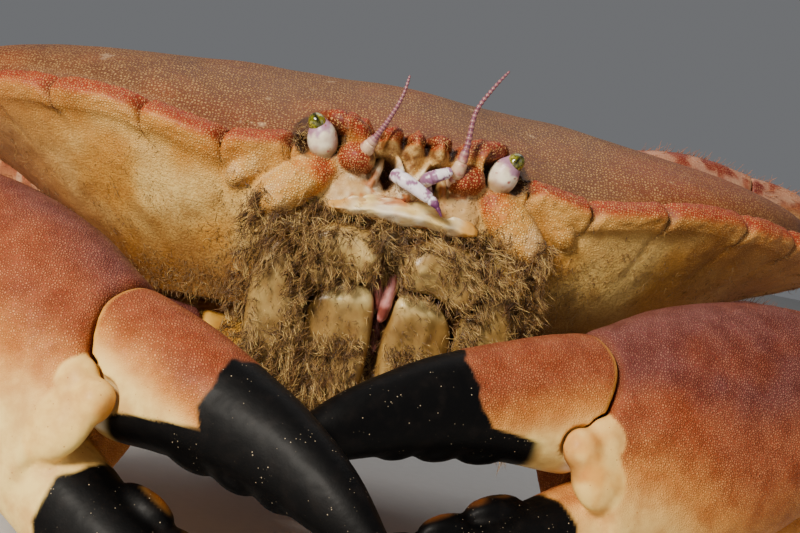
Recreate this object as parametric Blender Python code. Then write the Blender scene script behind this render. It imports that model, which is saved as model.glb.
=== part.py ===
"""Edible crab, life size, at rest on the floor with its claws folded in front of its mouth.

Sizes are in millimetres and add_mesh turns them into metres. The shell has a frame of its own: x to the
crab's left, y to its rear, z up, with the origin level with the widest line of the shell. The limbs are
placed in the frame of the floor, which the shell's frame meets through the tilt and height given below.
"""

import math

import bmesh
import bpy
from mathutils import Matrix, Vector

MM = 0.001
GAP = 0.3

# Stance
NOSE_UP = math.radians(8)
BODY_HEIGHT = 70.5

# Outline of the shell from above
HALF_WIDTH = 95
FRONT_LENGTH = 58
FRONT_POWER = 2.25
REAR_LENGTH = 66
REAR_POWER = 1.75
REAR_CUT = 60

# Back of the shell: height, and how fast it falls towards the front, side and rear
BACK_HEIGHT = 17.3
BACK_FALL = ((3.5, 1.15), (1.6, 0.28), (2.4, 0.6))
BACK_RINGS = (0.2, 0.42, 0.62, 0.79, 0.91, 0.975)

# Pie-crust rim: its bead, the dip beside the eyes and the lobes from the eye to the widest line
RIM_WIDTH = 4.2
RIM_RISE = 2.2
RIM_DIP = 4.6
RIM_DIP_AT = 32
RIM_DIP_WIDTH = 17
RIM_LEVEL = 2.0
LOBE_START = 21.5
LOBE_WIDTHS = (11.5, 14.5, 17, 13.5, 12, 10.5, 9.5, 8.5, 7.5)
LOBE_SWELL = 1.0
NOTCH_DEPTH = 2.2
FRONT_LOBES = (
    (0, 1.6, 1.2), (2.1, -0.9, -1.2), (4.2, 1.6, 1.4), (6.7, -1.4, -0.8),
    (9.6, 0.6, 2.2), (12.2, 1.8, 3.0), (15.5, 0.3, 1.6), (18.6, 0.2, 0.2),
)
REAR_STEPS = 13

# Under the rim: share of the outline's radius at each level, at the front, front corner, side and rear
CHEEK_LEVELS = (-4.5, -10, -16, -22.5, -29)
CHEEK_SHARES = {
    0: (0.975, 0.965, 0.945, 0.915, 0.88),
    38: (0.955, 0.91, 0.85, 0.77, 0.69),
    90: (0.955, 0.80, 0.67, 0.54, 0.42),
    125: (0.955, 0.81, 0.69, 0.57, 0.47),
    150: (0.96, 0.87, 0.77, 0.68, 0.60),
    180: (0.965, 0.94, 0.90, 0.85, 0.79),
}
BREAST_LEVELS = (-29.3, -36, -42, -46)
BREAST_SHARES = {
    0: (0.87, 0.82, 0.74, 0.60),
    38: (0.56, 0.53, 0.48, 0.38),
    90: (0.37, 0.35, 0.31, 0.24),
    125: (0.42, 0.39, 0.34, 0.27),
    150: (0.57, 0.53, 0.47, 0.36),
    180: (0.78, 0.73, 0.65, 0.50),
}
BREAST_DEPTH = -47

# Face
EYE_X = 16.3
ORBIT_CENTRE = Vector((EYE_X, -58.0, 1.6))
ORBIT_SIZE = Vector((4.7, 6.2, 5.4))
STALK_BASE = Vector((15.1, -55.2, -3.3))
STALK_LINE = Vector((0.28, -0.36, 0.89)).normalized()
STALK_LENGTH = 6.0
CORNEA_LENGTH = 2.5
FACE_PIT = (8.2, -12.4, -1.4, -52.5)
ANTENNAE = {
    "right": (
        (-8.6, -55.6, -1.4), (-8.3, -59.4, 0.2), (-7.1, -61.2, 2.4), (-5.6, -61.4, 5.6), (-4.2, -61.2, 9.6),
        (-3.6, -60.6, 13.4),
    ),
    "left": (
        (7.4, -55.6, -2.6), (7.7, -59.6, -0.6), (8.2, -61.2, 3.6), (8.6, -61.2, 9.4), (10.8, -60.6, 14.0),
        (13.2, -60.0, 17.8),
    ),
}
ANTENNULES = {
    "right": (
        (-3.2, -52.8, -4.6), (-2.4, -57.6, -3.0), (1.4, -60.4, -5.0), (4.6, -61.6, -6.9), (5.9, -61.9, -9.4),
    ),
    "left": (
        (4.4, -52.8, -4.8), (2.6, -57.0, -3.6), (3.4, -60.2, -2.9), (5.4, -60.8, -1.9), (6.3, -60.8, -1.1),
    ),
}

# Mouth shield, on a plane tilted out of the upright, with v up along it and u out to the side
MOUTH_CENTRE = Vector((0, -46.0, -26.4))
MOUTH_TILT = math.radians(21.5)
MOUTH_HALF_WIDTH = 23.5
MOUTH_HALF_HEIGHT = 17.2
PLATE_RISE = 7.5

# Walking legs, first to last: hip in the shell's frame, heading, size, and the slopes of the segments
LEG_LENGTHS = (58, 27, 34, 36)
LEG_HIPS = ((-13, 29), (0, 29), (13, 28), (25, 26))
LEG_HEADINGS = (-3, 11, 27, 48)
LEG_SCALES = (0.94, 1.0, 1.0, 1.03)
LEG_SLOPES = (6, -42, -63)
HIP_LEVEL = -38.5
HIP_RADIUS = 5.9
HIP_REACH = 8
RAISED_LINES = (
    Vector((25, 42, 31.5)), Vector((7.5, -1, 26)), Vector((33, 9, 1.5)), Vector((33, 9, -7)),
)
LEG_WIDE = ((5.2, 7.6, 8.6, 8.2, 6.6), (6.4, 7.8, 7.6, 6.2), (6.0, 6.9, 6.4, 4.8), (4.6, 4.2, 3.2, 1.9, 1.1))
LEG_THICK = ((4.6, 4.9, 5.0, 4.9, 4.4), (4.4, 5.0, 4.9, 4.2), (4.1, 4.4, 4.1, 3.4), (3.3, 3.1, 2.5, 1.7, 1.1))
LEG_BOW = (2.0, 1.4, 0.6, 2.6)

# Claws
CLAW_HIP = Vector((31, -30, -38.2))
CLAW_HIP_RADIUS = 7.6
PALM_LENGTH = 60
PALM_WIDE = (10.5, 16.5, 20, 20.8, 20.2, 19.6)
PALM_THICK = (8.5, 12, 13.6, 13.6, 12.4, 10.8)
CLAWS = {
    "right": {"end": Vector((-40.3, -93.1, 31.6)), "line": Vector((0.754, -0.578, -0.304)), "open": 1},
    "left": {"end": Vector((30.8, -80.4, 36.0)), "line": Vector((-0.890, -0.383, -0.253)), "open": 1},
}
PALM_LEAN = math.radians(9)
ELBOWS = {"right": Vector((-97, -37, 31.5)), "left": Vector((97, -38, 32.5))}
FINGER_WIDE = (8.2, 8.0, 7.2, 5.8, 4.2, 2.2)
FINGER_THICK = (8.2, 7.4, 6.2, 5.0, 3.8, 2.0)
THUMB_WIDE = (10.8, 9.6, 8.0, 6.4, 4.8, 2.4)
THUMB_THICK = (9.4, 8.2, 6.6, 5.2, 4.0, 2.2)
THUMB_LENGTH = 48
THUMB_BOW = 3.2
FINGER_LENGTH = 48
FINGER_BOW = -3.4
TOOTH_SPOTS = (0.3, 0.46, 0.61, 0.75)
KNOB_SIZE = Vector((5.4, 3.8, 7.8))

# Tail, folded under the body: its middle line from the rear rim forward, half widths along it
TAIL_LINE = (
    (59.0, -11), (57.2, -20), (50.6, -32), (44.0, -43.5), (30, -49.2), (12, -49.4), (-6, -49.4), (-14, -49.2),
)
TAIL_WIDE = (18, 20.5, 23, 25, 26, 24.5, 17, 6)
TAIL_THICK = 2.7

COLOURS = {
    "shell": (0.42, 0.17, 0.10),
    "underside": (0.72, 0.55, 0.33),
    "claw": (0.62, 0.30, 0.18),
    "leg": (0.50, 0.20, 0.13),
    "leg_tip": (0.30, 0.13, 0.09),
    "mouth": (0.58, 0.45, 0.27),
    "eye": (0.35, 0.36, 0.07),
    "eyestalk": (0.85, 0.82, 0.80),
    "feeler": (0.45, 0.26, 0.33),
}


def clear_scene():
    for obj in list(bpy.data.objects):
        bpy.data.objects.remove(obj)


def make_materials():
    made = {}
    for name, colour in COLOURS.items():
        material = bpy.data.materials.new(name)
        material.use_nodes = True
        shader = material.node_tree.nodes["Principled BSDF"]
        shader.inputs["Base Color"].default_value = (*colour, 1)
        shader.inputs["Roughness"].default_value = 0.3 if name == "eye" else 0.5
        shader.inputs["Metallic"].default_value = 0
        made[name] = material
    return made


def add_mesh(name, points, faces, material=None):
    mesh = bpy.data.meshes.new(name)
    mesh.from_pydata([Vector(p) * MM for p in points], [], faces)
    if material:
        mesh.materials.append(material)
    obj = bpy.data.objects.new(name, mesh)
    bpy.context.scene.collection.objects.link(obj)
    return obj


def along(sizes, share):
    """The size at this share of the way along a few evenly spaced sizes, on a smooth curve through them."""
    place = min(max(share, 0), 1) * (len(sizes) - 1)
    i = min(int(place), len(sizes) - 2)
    t = place - i
    before, start, end, after = (sizes[min(max(k, 0), len(sizes) - 1)] for k in (i - 1, i, i + 1, i + 2))
    slope_in, slope_out = (end - before) / 2, (after - start) / 2
    turn = t * t * (3 - 2 * t)
    return start + (end - start) * turn + slope_in * t * (1 - t) ** 2 - slope_out * t * t * (1 - t)


def by_angle(table, degrees):
    """The shares at this angle from the front, eased between the angles that the table names."""
    angles = sorted(table)
    degrees = min(max(degrees, angles[0]), angles[-1])
    high = next(a for a in angles[1:] if degrees <= a)
    low = angles[angles.index(high) - 1]
    t = (degrees - low) / (high - low)
    t = t * t * (3 - 2 * t)
    return [a + (b - a) * t for a, b in zip(table[low], table[high])]


def skin_rings(rings):
    """Points and faces of a closed solid through rings of equal counts, each end closed by a fan."""
    count = len(rings[0])
    points = [p for ring in rings for p in ring]
    faces = []
    for k in range(len(rings) - 1):
        for i in range(count):
            a, b = k * count + i, k * count + (i + 1) % count
            faces.append((a, b, b + count, a + count))
    for k, flip in ((0, True), (len(rings) - 1, False)):
        centre = len(points)
        points.append(sum((Vector(p) for p in rings[k]), Vector()) / count)
        for i in range(count):
            a, b = k * count + i, k * count + (i + 1) % count
            faces.append((b, a, centre) if flip else (a, b, centre))
    return points, faces


def face_outwards(obj):
    work = bmesh.new()
    work.from_mesh(obj.data)
    bmesh.ops.recalc_face_normals(work, faces=work.faces)
    if work.calc_volume(signed=True) < 0:
        bmesh.ops.reverse_faces(work, faces=work.faces)
    work.to_mesh(obj.data)
    work.free()
    return obj


def ring_solid(name, rings, material=None):
    points, faces = skin_rings(rings)
    return face_outwards(add_mesh(name, points, faces, material))


def ellipsoid(name, centre, size, segments=10, levels=6, turn=None, material=None):
    """A round lump with half sizes along its own x, y and z; turn is the matrix that sets its axes."""
    turn = turn or Matrix.Identity(3)
    rings = []
    for k in range(1, levels):
        polar = math.pi * k / levels
        ring = []
        for i in range(segments):
            around = 2 * math.pi * i / segments
            unit = (math.sin(polar) * math.cos(around), math.sin(polar) * math.sin(around), math.cos(polar))
            ring.append(centre + turn @ Vector(s * u for s, u in zip(size, unit)))
        rings.append(ring)
    obj = ring_solid(name, rings, material)
    for sign, index in ((1, 2), (-1, 1)):
        pole = centre + turn @ Vector((0, 0, sign * size[2]))
        obj.data.vertices[len(obj.data.vertices) - index].co = pole * MM
    return obj


def apply_modifiers(obj):
    graph = bpy.context.evaluated_depsgraph_get()
    mesh = bpy.data.meshes.new_from_object(obj.evaluated_get(graph))
    obj.modifiers.clear()
    obj.data = mesh


def keep_largest(obj):
    """Drops every closed surface of the object but the largest."""
    work = bmesh.new()
    work.from_mesh(obj.data)
    groups, seen = [], set()
    for vertex in work.verts:
        if vertex in seen:
            continue
        group, waiting = [], [vertex]
        seen.add(vertex)
        while waiting:
            current = waiting.pop()
            group.append(current)
            for edge in current.link_edges:
                other = edge.other_vert(current)
                if other not in seen:
                    seen.add(other)
                    waiting.append(other)
        groups.append(group)
    groups.sort(key=len)
    for group in groups[:-1]:
        bmesh.ops.delete(work, geom=group, context="VERTS")
    work.to_mesh(obj.data)
    work.free()


def boolean(obj, others, operation):
    """Joins the others to the object or cuts them from it, in one Boolean, and removes them."""
    group = bpy.data.collections.new(obj.name + "_others")
    bpy.context.scene.collection.children.link(group)
    for other in others:
        for holder in list(other.users_collection):
            holder.objects.unlink(other)
        group.objects.link(other)
    modifier = obj.modifiers.new(operation.lower(), "BOOLEAN")
    modifier.operation = operation
    modifier.operand_type = "COLLECTION"
    modifier.collection = group
    modifier.solver = "EXACT"
    bpy.context.view_layer.update()
    apply_modifiers(obj)
    for other in others:
        bpy.data.objects.remove(other)
    bpy.data.collections.remove(group)
    keep_largest(obj)
    return obj


def grown_copy(obj, by=GAP):
    """A copy a little larger all round, in the same place, to cut a neighbour with."""
    copy = bpy.data.objects.new(obj.name + "_grown", obj.data.copy())
    bpy.context.scene.collection.objects.link(copy)
    normals = [v.normal.copy() for v in copy.data.vertices]
    for vertex, normal in zip(copy.data.vertices, normals):
        vertex.co += normal * by * MM
    return copy


def outline_radius(angle):
    """Radius of the shell's outline, without its lobes, at this angle from the front."""
    side, ahead = abs(math.sin(angle)), math.cos(angle)
    if ahead >= 0:
        length, power = FRONT_LENGTH, FRONT_POWER
    else:
        length, power = REAR_LENGTH, REAR_POWER
    radius = ((side / HALF_WIDTH) ** power + (abs(ahead) / length) ** power) ** (-1 / power)
    if ahead < 0:
        radius = min(radius, REAR_CUT / max(-ahead, 1e-6))
    return radius


def rim_level(angle):
    """Height of the rim: it dips beside the eyes and falls again towards the rear."""
    across = outline_radius(angle) * abs(math.sin(angle))
    if math.cos(angle) > 0:
        return RIM_LEVEL - RIM_DIP * math.exp(-(((across - RIM_DIP_AT) / RIM_DIP_WIDTH) ** 2))
    return RIM_LEVEL + 3.5 * math.cos(angle) ** 3


def angle_of_x(across):
    """Angle from the front at which the front part of the outline is this far from the middle."""
    low, high = 0.0, math.pi / 2
    for _ in range(40):
        middle = (low + high) / 2
        if outline_radius(middle) * math.sin(middle) < across:
            low = middle
        else:
            high = middle
    return low


def half_rim():
    """(angle, how far the lobes move the rim outwards there, and up), from the middle of the front round
    one side to the rear."""
    places = [(angle_of_x(x) if x else 0.0, out, up) for x, out, up in FRONT_LOBES]
    start = angle_of_x(LOBE_START)
    steps = 2000
    lengths = [0.0]
    last = Vector((math.sin(start), -math.cos(start))) * outline_radius(start)
    angles = [start + (math.radians(94) - start) * k / steps for k in range(steps + 1)]
    for angle in angles[1:]:
        point = Vector((math.sin(angle), -math.cos(angle))) * outline_radius(angle)
        lengths.append(lengths[-1] + (point - last).length)
        last = point
    scale = lengths[-1] / sum(LOBE_WIDTHS)
    begun = 0.0
    for width in LOBE_WIDTHS:
        stages = ((0, -NOTCH_DEPTH, -0.8), (0.16, 0.3, 0), (0.5, LOBE_SWELL, 0.2), (0.84, 0.3, 0))
        for share, out, up in stages:
            length = (begun + width * share) * scale
            index = next(i for i, value in enumerate(lengths) if value >= length - 1e-9)
            places.append((angles[index], out, up))
        begun += width
    rear_start = angles[-1]
    places.append((rear_start, -NOTCH_DEPTH / 2, 0))
    for k in range(1, REAR_STEPS + 1):
        places.append((rear_start + (math.pi - rear_start) * k / REAR_STEPS, 0, 0))
    return places


def shell_ring(places, ring_of):
    """One ring round the whole body, from what ring_of gives (radius, height) at each place of one side."""
    left = [(place[0], *ring_of(*place)) for place in places]
    ring = [Vector((r * math.sin(a), -r * math.cos(a), z)) for a, r, z in left]
    return ring + [Vector((-p.x, p.y, p.z)) for p in reversed(ring[1:-1])]


def back_height(angle, share):
    degrees = abs(math.degrees(angle))
    front, side, rear = BACK_FALL
    t = min(degrees, 90) / 90 if degrees <= 90 else (degrees - 90) / 90
    t = t * t * (3 - 2 * t)
    low, high = (front, side) if degrees <= 90 else (side, rear)
    power = low[0] + (high[0] - low[0]) * t
    fall = low[1] + (high[1] - low[1]) * t
    return BACK_HEIGHT * max(1 - share**power, 0) ** fall


def make_shell(material):
    places = half_rim()
    rings = []
    for share in BACK_RINGS:
        rings.append(
            shell_ring(
                places,
                lambda a, out, up, share=share: (
                    (outline_radius(a) - RIM_WIDTH) * share,
                    RIM_LEVEL + 1.0 + (rim_level(a) - RIM_LEVEL) * share**3 + back_height(a, share),
                ),
            )
        )
    rim = (
        (lambda a, out, up: (outline_radius(a) - RIM_WIDTH + 0.3 * min(out, 0), rim_level(a) + 1 + 0.3 * up)),
        (lambda a, out, up: (outline_radius(a) - 2.4 + 0.7 * out, rim_level(a) + RIM_RISE + up)),
        (lambda a, out, up: (outline_radius(a) + out, rim_level(a) + 0.7 * up)),
        (lambda a, out, up: (outline_radius(a) - 1.2 + 0.7 * out, rim_level(a) - 2.4 + 0.3 * up)),
    )
    rings += [shell_ring(places, part) for part in rim]
    for k, level in enumerate(CHEEK_LEVELS):
        rings.append(
            shell_ring(
                places,
                lambda a, out, up, k=k, level=level: (
                    outline_radius(a) * by_angle(CHEEK_SHARES, math.degrees(a))[k] + max(0.5 - 0.25 * k, 0) * out,
                    level + rim_level(a) * (1 - k / (len(CHEEK_LEVELS) - 1)),
                ),
            )
        )
    shell = ring_solid("carapace", rings, material)
    shell.data.vertices[len(shell.data.vertices) - 2].co.z = (RIM_LEVEL + 1 + BACK_HEIGHT) * MM
    lumps = []
    for side in (-1, 1):
        turn = Matrix.Rotation(side * math.radians(42), 3, "Y")
        lumps.append(ellipsoid("orbit_lobe", Vector((side * 18.8, -53.6, -7.6)), (7.6, 4.6, 3.8), 12, 8, turn))
        lumps.append(ellipsoid("feeler_lobe", Vector((side * 10.2, -55.6, -2.2)), (3.3, 4.0, 3.0)))
    return boolean(shell, lumps, "UNION")


def box_cutter(low, high):
    corners = [Vector((x, y, z)) for x in (low[0], high[0]) for y in (low[1], high[1]) for z in (low[2], high[2])]
    faces = [(0, 1, 3, 2), (4, 6, 7, 5), (0, 4, 5, 1), (2, 3, 7, 6), (0, 2, 6, 4), (1, 5, 7, 3)]
    return face_outwards(add_mesh("box_cutter", corners, faces))


def mouth_point(u, v, rise):
    """Point of the mouth shield: u to the side, v up along its plane, rise out of it."""
    up = Vector((0, -math.sin(MOUTH_TILT), math.cos(MOUTH_TILT)))
    out = Vector((0, -math.cos(MOUTH_TILT), -math.sin(MOUTH_TILT)))
    return MOUTH_CENTRE + Vector((u, 0, 0)) + up * v + out * rise


def mouth_cutter():
    """The hollow that the mouthparts lie in, a rounded prism open to the front and below."""
    outline = []
    for k in range(28):
        angle = 2 * math.pi * (k + 0.5) / 28
        c, s = math.cos(angle), math.sin(angle)
        outline.append(
            (
                MOUTH_HALF_WIDTH * math.copysign(abs(c) ** 0.45, c),
                MOUTH_HALF_HEIGHT * math.copysign(abs(s) ** 0.45, s),
            )
        )
    rings = [[mouth_point(u, v, rise) for u, v in outline] for rise in (0, 26)]
    return ring_solid("mouth_cutter", rings)


def make_breast(material):
    places = half_rim()[::2]
    if places[-1][0] < math.pi:
        places.append((math.pi, 0, 0))
    rings = []
    for k, level in enumerate(BREAST_LEVELS):
        rings.append(
            shell_ring(
                places,
                lambda a, out, up, k=k, level=level: (
                    outline_radius(a) * by_angle(BREAST_SHARES, math.degrees(a))[k],
                    level,
                ),
            )
        )
    breast = ring_solid("thorax", rings, material)
    breast.data.vertices[len(breast.data.vertices) - 1].co.z = BREAST_DEPTH * MM
    return breast


def frame_of(line, side_hint):
    """(side, up) axes square to a line, with side as near as can be to the hint."""
    up = side_hint.cross(line).normalized()
    return line.cross(up).normalized(), up


def segment_rings(start, end, wide, thick, side_hint, cuts, bow=0.0, sides=10, rings=5, power=2.3, trim=GAP / 2):
    """Rings of a limb segment from start to end. wide is its half size up, thick its half size to the side,
    cuts the normals of the two planes that it ends on, bow how far its middle rises."""
    line = (end - start).normalized()
    side, up = frame_of(line, side_hint)
    first, last = (Vector(c).normalized() for c in cuts)
    start = start + line * (trim / max(line.dot(first), 0.3))
    end = end - line * (trim / max(line.dot(last), 0.3))
    made = []
    for k in range(rings):
        share = k / (rings - 1)
        near_start, near_end = max(1 - share / 0.45, 0), max(1 - (1 - share) / 0.45, 0)
        centre = start.lerp(end, share) + up * (bow * 4 * share * (1 - share))
        ring = []
        for i in range(sides):
            around = 2 * math.pi * (i + 0.5) / sides
            c, s = math.cos(around), math.sin(around)
            offset = side * (along(thick, share) * math.copysign(abs(c) ** (2 / power), c))
            offset += up * (along(wide, share) * math.copysign(abs(s) ** (2 / power), s))
            shift = near_start * offset.dot(first) / line.dot(first) + near_end * offset.dot(last) / line.dot(last)
            ring.append(centre + offset - line * shift)
        made.append(ring)
    return made


def shell_matrix():
    return Matrix.Translation(Vector((0, 0, BODY_HEIGHT))) @ Matrix.Rotation(-NOSE_UP, 4, "X")


def heading_line(degrees, slope, side):
    """Unit vector out to one side, turned to the rear by degrees and up by the slope."""
    turn, rise = math.radians(degrees), math.radians(slope)
    return Vector((side * math.cos(turn) * math.cos(rise), math.sin(turn) * math.cos(rise), math.sin(rise)))


def leg_joints(index, side):
    """The hip and the joints of one walking leg down to its tip, in the frame of the floor."""
    along_body, across = LEG_HIPS[index]
    hip = shell_matrix() @ Vector((side * (across + HIP_REACH), along_body, HIP_LEVEL))
    lengths = [length * LEG_SCALES[index] for length in LEG_LENGTHS]
    heading = LEG_HEADINGS[index]
    if (index, side) == (3, 1):
        lines = [line.normalized() for line in RAISED_LINES]
    else:
        lines = [heading_line(heading, slope, side) for slope in (0, *LEG_SLOPES)]
        drop = hip.z + sum(line.z * length for line, length in zip(lines[1:], lengths[1:]))
        lines[0] = heading_line(heading, math.degrees(math.asin(-drop / lengths[0])), side)
    joints = [hip]
    for line, length in zip(lines, lengths):
        joints.append(joints[-1] + line * length)
    return joints


def make_leg(index, side, materials):
    """The four free segments of a walking leg. The tip of a planted leg ends on a flat at floor level."""
    joints = leg_joints(index, side)
    planted = (index, side) != (3, 1)
    lines = [(b - a).normalized() for a, b in zip(joints, joints[1:])]
    hip_line = heading_line(LEG_HEADINGS[index], 8, side)
    cuts = [hip_line + lines[0]]
    cuts += [a + b for a, b in zip(lines, lines[1:])]
    cuts.append(Vector((0, 0, -1)) if planted else lines[3])
    flat = Vector((lines[0].x, lines[0].y, 0)).normalized()
    side_hint = flat.cross(Vector((0, 0, 1)))
    made = []
    word = "left" if side > 0 else "right"
    for k, part in enumerate(("merus", "carpus", "propodus", "dactyl")):
        scale = LEG_SCALES[index]
        rings = segment_rings(
            joints[k],
            joints[k + 1],
            [w * scale for w in LEG_WIDE[k]],
            [t * scale for t in LEG_THICK[k]],
            side_hint,
            (cuts[k], cuts[k + 1]),
            LEG_BOW[k] if planted or k else 0,
            sides=8 if k == 3 else 10,
            rings=5,
            trim=GAP / 2 if k < 3 or not planted else 0.075,
        )
        if k == 3 and planted:
            rings[-1] = [Vector((p.x, p.y, 0)) for p in rings[-1]]
        name = f"leg_{index + 1}_{part}_{word}"
        made.append(ring_solid(name, rings, materials["leg_tip" if k == 3 else "leg"]))
    return made


def hip_solids(inverse):
    """The ten hip stubs, which are joined to the thorax, in the shell's frame."""
    made = []
    for side in (-1, 1):
        for index in range(4):
            joints = leg_joints(index, side)
            hip_line = heading_line(LEG_HEADINGS[index], 8, side)
            cut = hip_line + (joints[1] - joints[0]).normalized()
            start = joints[0] - hip_line * 20
            side_hint = Vector((hip_line.x, hip_line.y, 0)).cross(Vector((0, 0, 1)))
            rings = segment_rings(
                start,
                joints[0],
                (HIP_RADIUS, HIP_RADIUS, HIP_RADIUS * LEG_SCALES[index] * 0.95),
                (HIP_RADIUS, HIP_RADIUS, HIP_RADIUS * LEG_SCALES[index] * 0.86),
                side_hint,
                (hip_line, cut),
                rings=3,
            )
            made.append(ring_solid("hip", [[inverse @ p for p in ring] for ring in rings]))
        hip, elbow = claw_hip(side)
        line = (elbow - hip).normalized()
        outward = Vector((side, -0.2, 0.1)).normalized()
        rings = segment_rings(
            hip - outward * 20,
            hip,
            (CLAW_HIP_RADIUS,) * 3,
            (CLAW_HIP_RADIUS,) * 3,
            outward.cross(Vector((0, 0, 1))),
            (outward, outward + line),
            rings=3,
        )
        made.append(ring_solid("hip", [[inverse @ p for p in ring] for ring in rings]))
    return made


def claw_hip(side):
    hip = shell_matrix() @ Vector((side * CLAW_HIP.x, CLAW_HIP.y, CLAW_HIP.z))
    return hip, ELBOWS["left" if side > 0 else "right"]


def tooth(place, radius, stretch, line, up):
    side = line.cross(up)
    turn = Matrix((line, side, up)).transposed()
    return ellipsoid("tooth", place, (radius * stretch, radius, radius), 8, 4, turn)


def make_claw(side, materials):
    """Arm, wrist, palm with its fixed finger, and the free finger of one claw."""
    word = "left" if side > 0 else "right"
    claw = CLAWS[word]
    line = claw["line"].normalized()
    palm_end = claw["end"]
    wrist = palm_end - line * PALM_LENGTH
    hip, elbow = claw_hip(side)
    arm_line, wrist_line = (elbow - hip).normalized(), (wrist - elbow).normalized()
    outward = Vector((side, -0.2, 0.1)).normalized()
    plain_side, _ = frame_of(line, Vector((0, -1, 0)))
    face = (Matrix.Rotation(side * PALM_LEAN, 3, line) @ plain_side).normalized()
    hint = face if side < 0 else -face
    up = hint.cross(line).normalized()
    arm = ring_solid(
        f"claw_merus_{word}",
        segment_rings(
            hip,
            elbow + arm_line * 4,
            (7.2, 9.6, 11.6, 12.8, 12.4, 5.0),
            (6.8, 8.8, 10.0, 11.2, 11.0, 4.5),
            -side * arm_line.cross(Vector((0, 0, 1))),
            (outward + arm_line, arm_line),
            1.5,
            sides=12,
            rings=9,
        ),
        materials["claw"],
    )
    carpus = ring_solid(
        f"claw_carpus_{word}",
        segment_rings(
            elbow + (wrist - elbow) * 0.12,
            wrist,
            (9.0, 14.0, 15.4, 14.8, 11.0),
            (8.0, 12.0, 13.6, 12.6, 9.2),
            -side * wrist_line.cross(Vector((0, 0, 1))),
            (wrist_line, wrist_line + line),
            1.6,
            sides=14,
            rings=7,
        ),
        materials["claw"],
    )
    palm = ring_solid(
        f"claw_palm_{word}",
        segment_rings(
            wrist, palm_end, PALM_WIDE, PALM_THICK, hint, (wrist_line + line, line), 0.8, sides=20, rings=9
        ),
        materials["claw"],
    )
    opened = math.radians(claw["open"])
    finger_start = palm_end - up * 10.2 - line * 8
    finger_tip = palm_end - up * 9.5 + line * FINGER_LENGTH
    finger = ring_solid(
        "finger",
        segment_rings(
            finger_start, finger_tip, FINGER_WIDE, FINGER_THICK, hint, (line, line), FINGER_BOW, sides=12, rings=8
        ),
    )
    knob_at = palm_end + face * 9.0 - up * 0.5 + line * 0.5
    turn = Matrix((line, face, up)).transposed()
    knob = ellipsoid("knob", knob_at, KNOB_SIZE, 12, 6, turn)
    thumb_start = palm_end + up * 8.3
    thumb_line = line * math.cos(opened) + up * math.sin(opened)
    thumb_tip = thumb_start + thumb_line * THUMB_LENGTH
    thumb = ring_solid(
        f"claw_dactyl_{word}",
        segment_rings(
            thumb_start, thumb_tip, THUMB_WIDE, THUMB_THICK, hint, (line, thumb_line), THUMB_BOW, sides=14, rings=9
        ),
        materials["claw"],
    )
    finger_teeth, thumb_teeth = [], []
    for k, spot in enumerate(TOOTH_SPOTS):
        radius = 2.63 - 0.37 * k
        low = finger_start.lerp(finger_tip, spot + 0.1) - up * 1.4
        finger_teeth.append(tooth(low + up * along(FINGER_WIDE, spot + 0.1) * 0.86, radius, 1.4, line, up))
        high = thumb_start.lerp(thumb_tip, spot) + up * 2.4
        thumb_teeth.append(tooth(high - up * along(THUMB_WIDE, spot) * 0.86, radius, 1.4, thumb_line, up))
    boolean(carpus, [grown_copy(arm)], "DIFFERENCE")
    boolean(palm, [finger, knob, *finger_teeth], "UNION")
    boolean(palm, [grown_copy(carpus)], "DIFFERENCE")
    boolean(thumb, thumb_teeth, "UNION")
    boolean(thumb, [grown_copy(palm)], "DIFFERENCE")
    return [arm, carpus, palm, thumb]


def make_tail(material):
    """The tail plate, folded forward under the body."""
    count = 15
    centres = []
    for k in range(count):
        share = k / (count - 1)
        back = along([y for y, _ in TAIL_LINE], share)
        centres.append(Vector((0, back, along([z for _, z in TAIL_LINE], share))))
    rings = []
    for k, centre in enumerate(centres):
        line = (centres[min(k + 1, count - 1)] - centres[max(k - 1, 0)]).normalized()
        out = line.cross(Vector((1, 0, 0))).normalized()
        half = along(TAIL_WIDE, k / (count - 1))
        ring = []
        for i in range(12):
            around = 2 * math.pi * (i + 0.5) / 12
            c, s = math.cos(around), math.sin(around)
            step = 0.45 if k % 2 else 0.0
            ring.append(
                centre
                + Vector((1, 0, 0)) * (half * math.copysign(abs(c) ** 0.7, c))
                + out * ((TAIL_THICK - step) * math.copysign(abs(s) ** 0.8, s))
            )
        rings.append(ring)
    return ring_solid("abdomen", rings, material)


def make_eye(side, materials):
    """Stalk and cornea, standing in the orbit and leaning outwards."""
    word = "left" if side > 0 else "right"
    base = Vector((side * STALK_BASE.x, STALK_BASE.y, STALK_BASE.z))
    line = Vector((side * STALK_LINE.x, STALK_LINE.y, STALK_LINE.z))
    top = base + line * STALK_LENGTH
    hint = Vector((1, 0, 0))
    stalk = segment_rings(
        base, top, (2.0, 3.0, 3.2, 2.7), (2.0, 2.9, 3.1, 2.6), hint, (line, line), sides=12, rings=5, power=2
    )
    cornea = segment_rings(
        top, top + line * CORNEA_LENGTH, (2.5, 2.4, 1.9, 0.7), (2.4, 2.3, 1.8, 0.6), hint, (line, line),
        sides=12, rings=4, power=2,
    )
    return [
        ring_solid(f"eyestalk_{word}", stalk, materials["eyestalk"]),
        ring_solid(f"eye_{word}", cornea, materials["eye"]),
    ]


def curved_rings(points, radii, sides):
    """Rings of a tapered round stem along a smooth curve through a few points."""
    count = len(radii)
    centres = [
        Vector(along([p[i] for p in points], k / (count - 1)) for i in range(3)) for k in range(count)
    ]
    rings = []
    for k, centre in enumerate(centres):
        line = (centres[min(k + 1, count - 1)] - centres[max(k - 1, 0)]).normalized()
        side, up = frame_of(line, Vector((1, 0.3, 0)))
        rings.append(
            [
                centre + (side * math.cos(a) + up * math.sin(a)) * radii[k]
                for a in (2 * math.pi * i / sides for i in range(sides))
            ]
        )
    return rings


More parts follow.
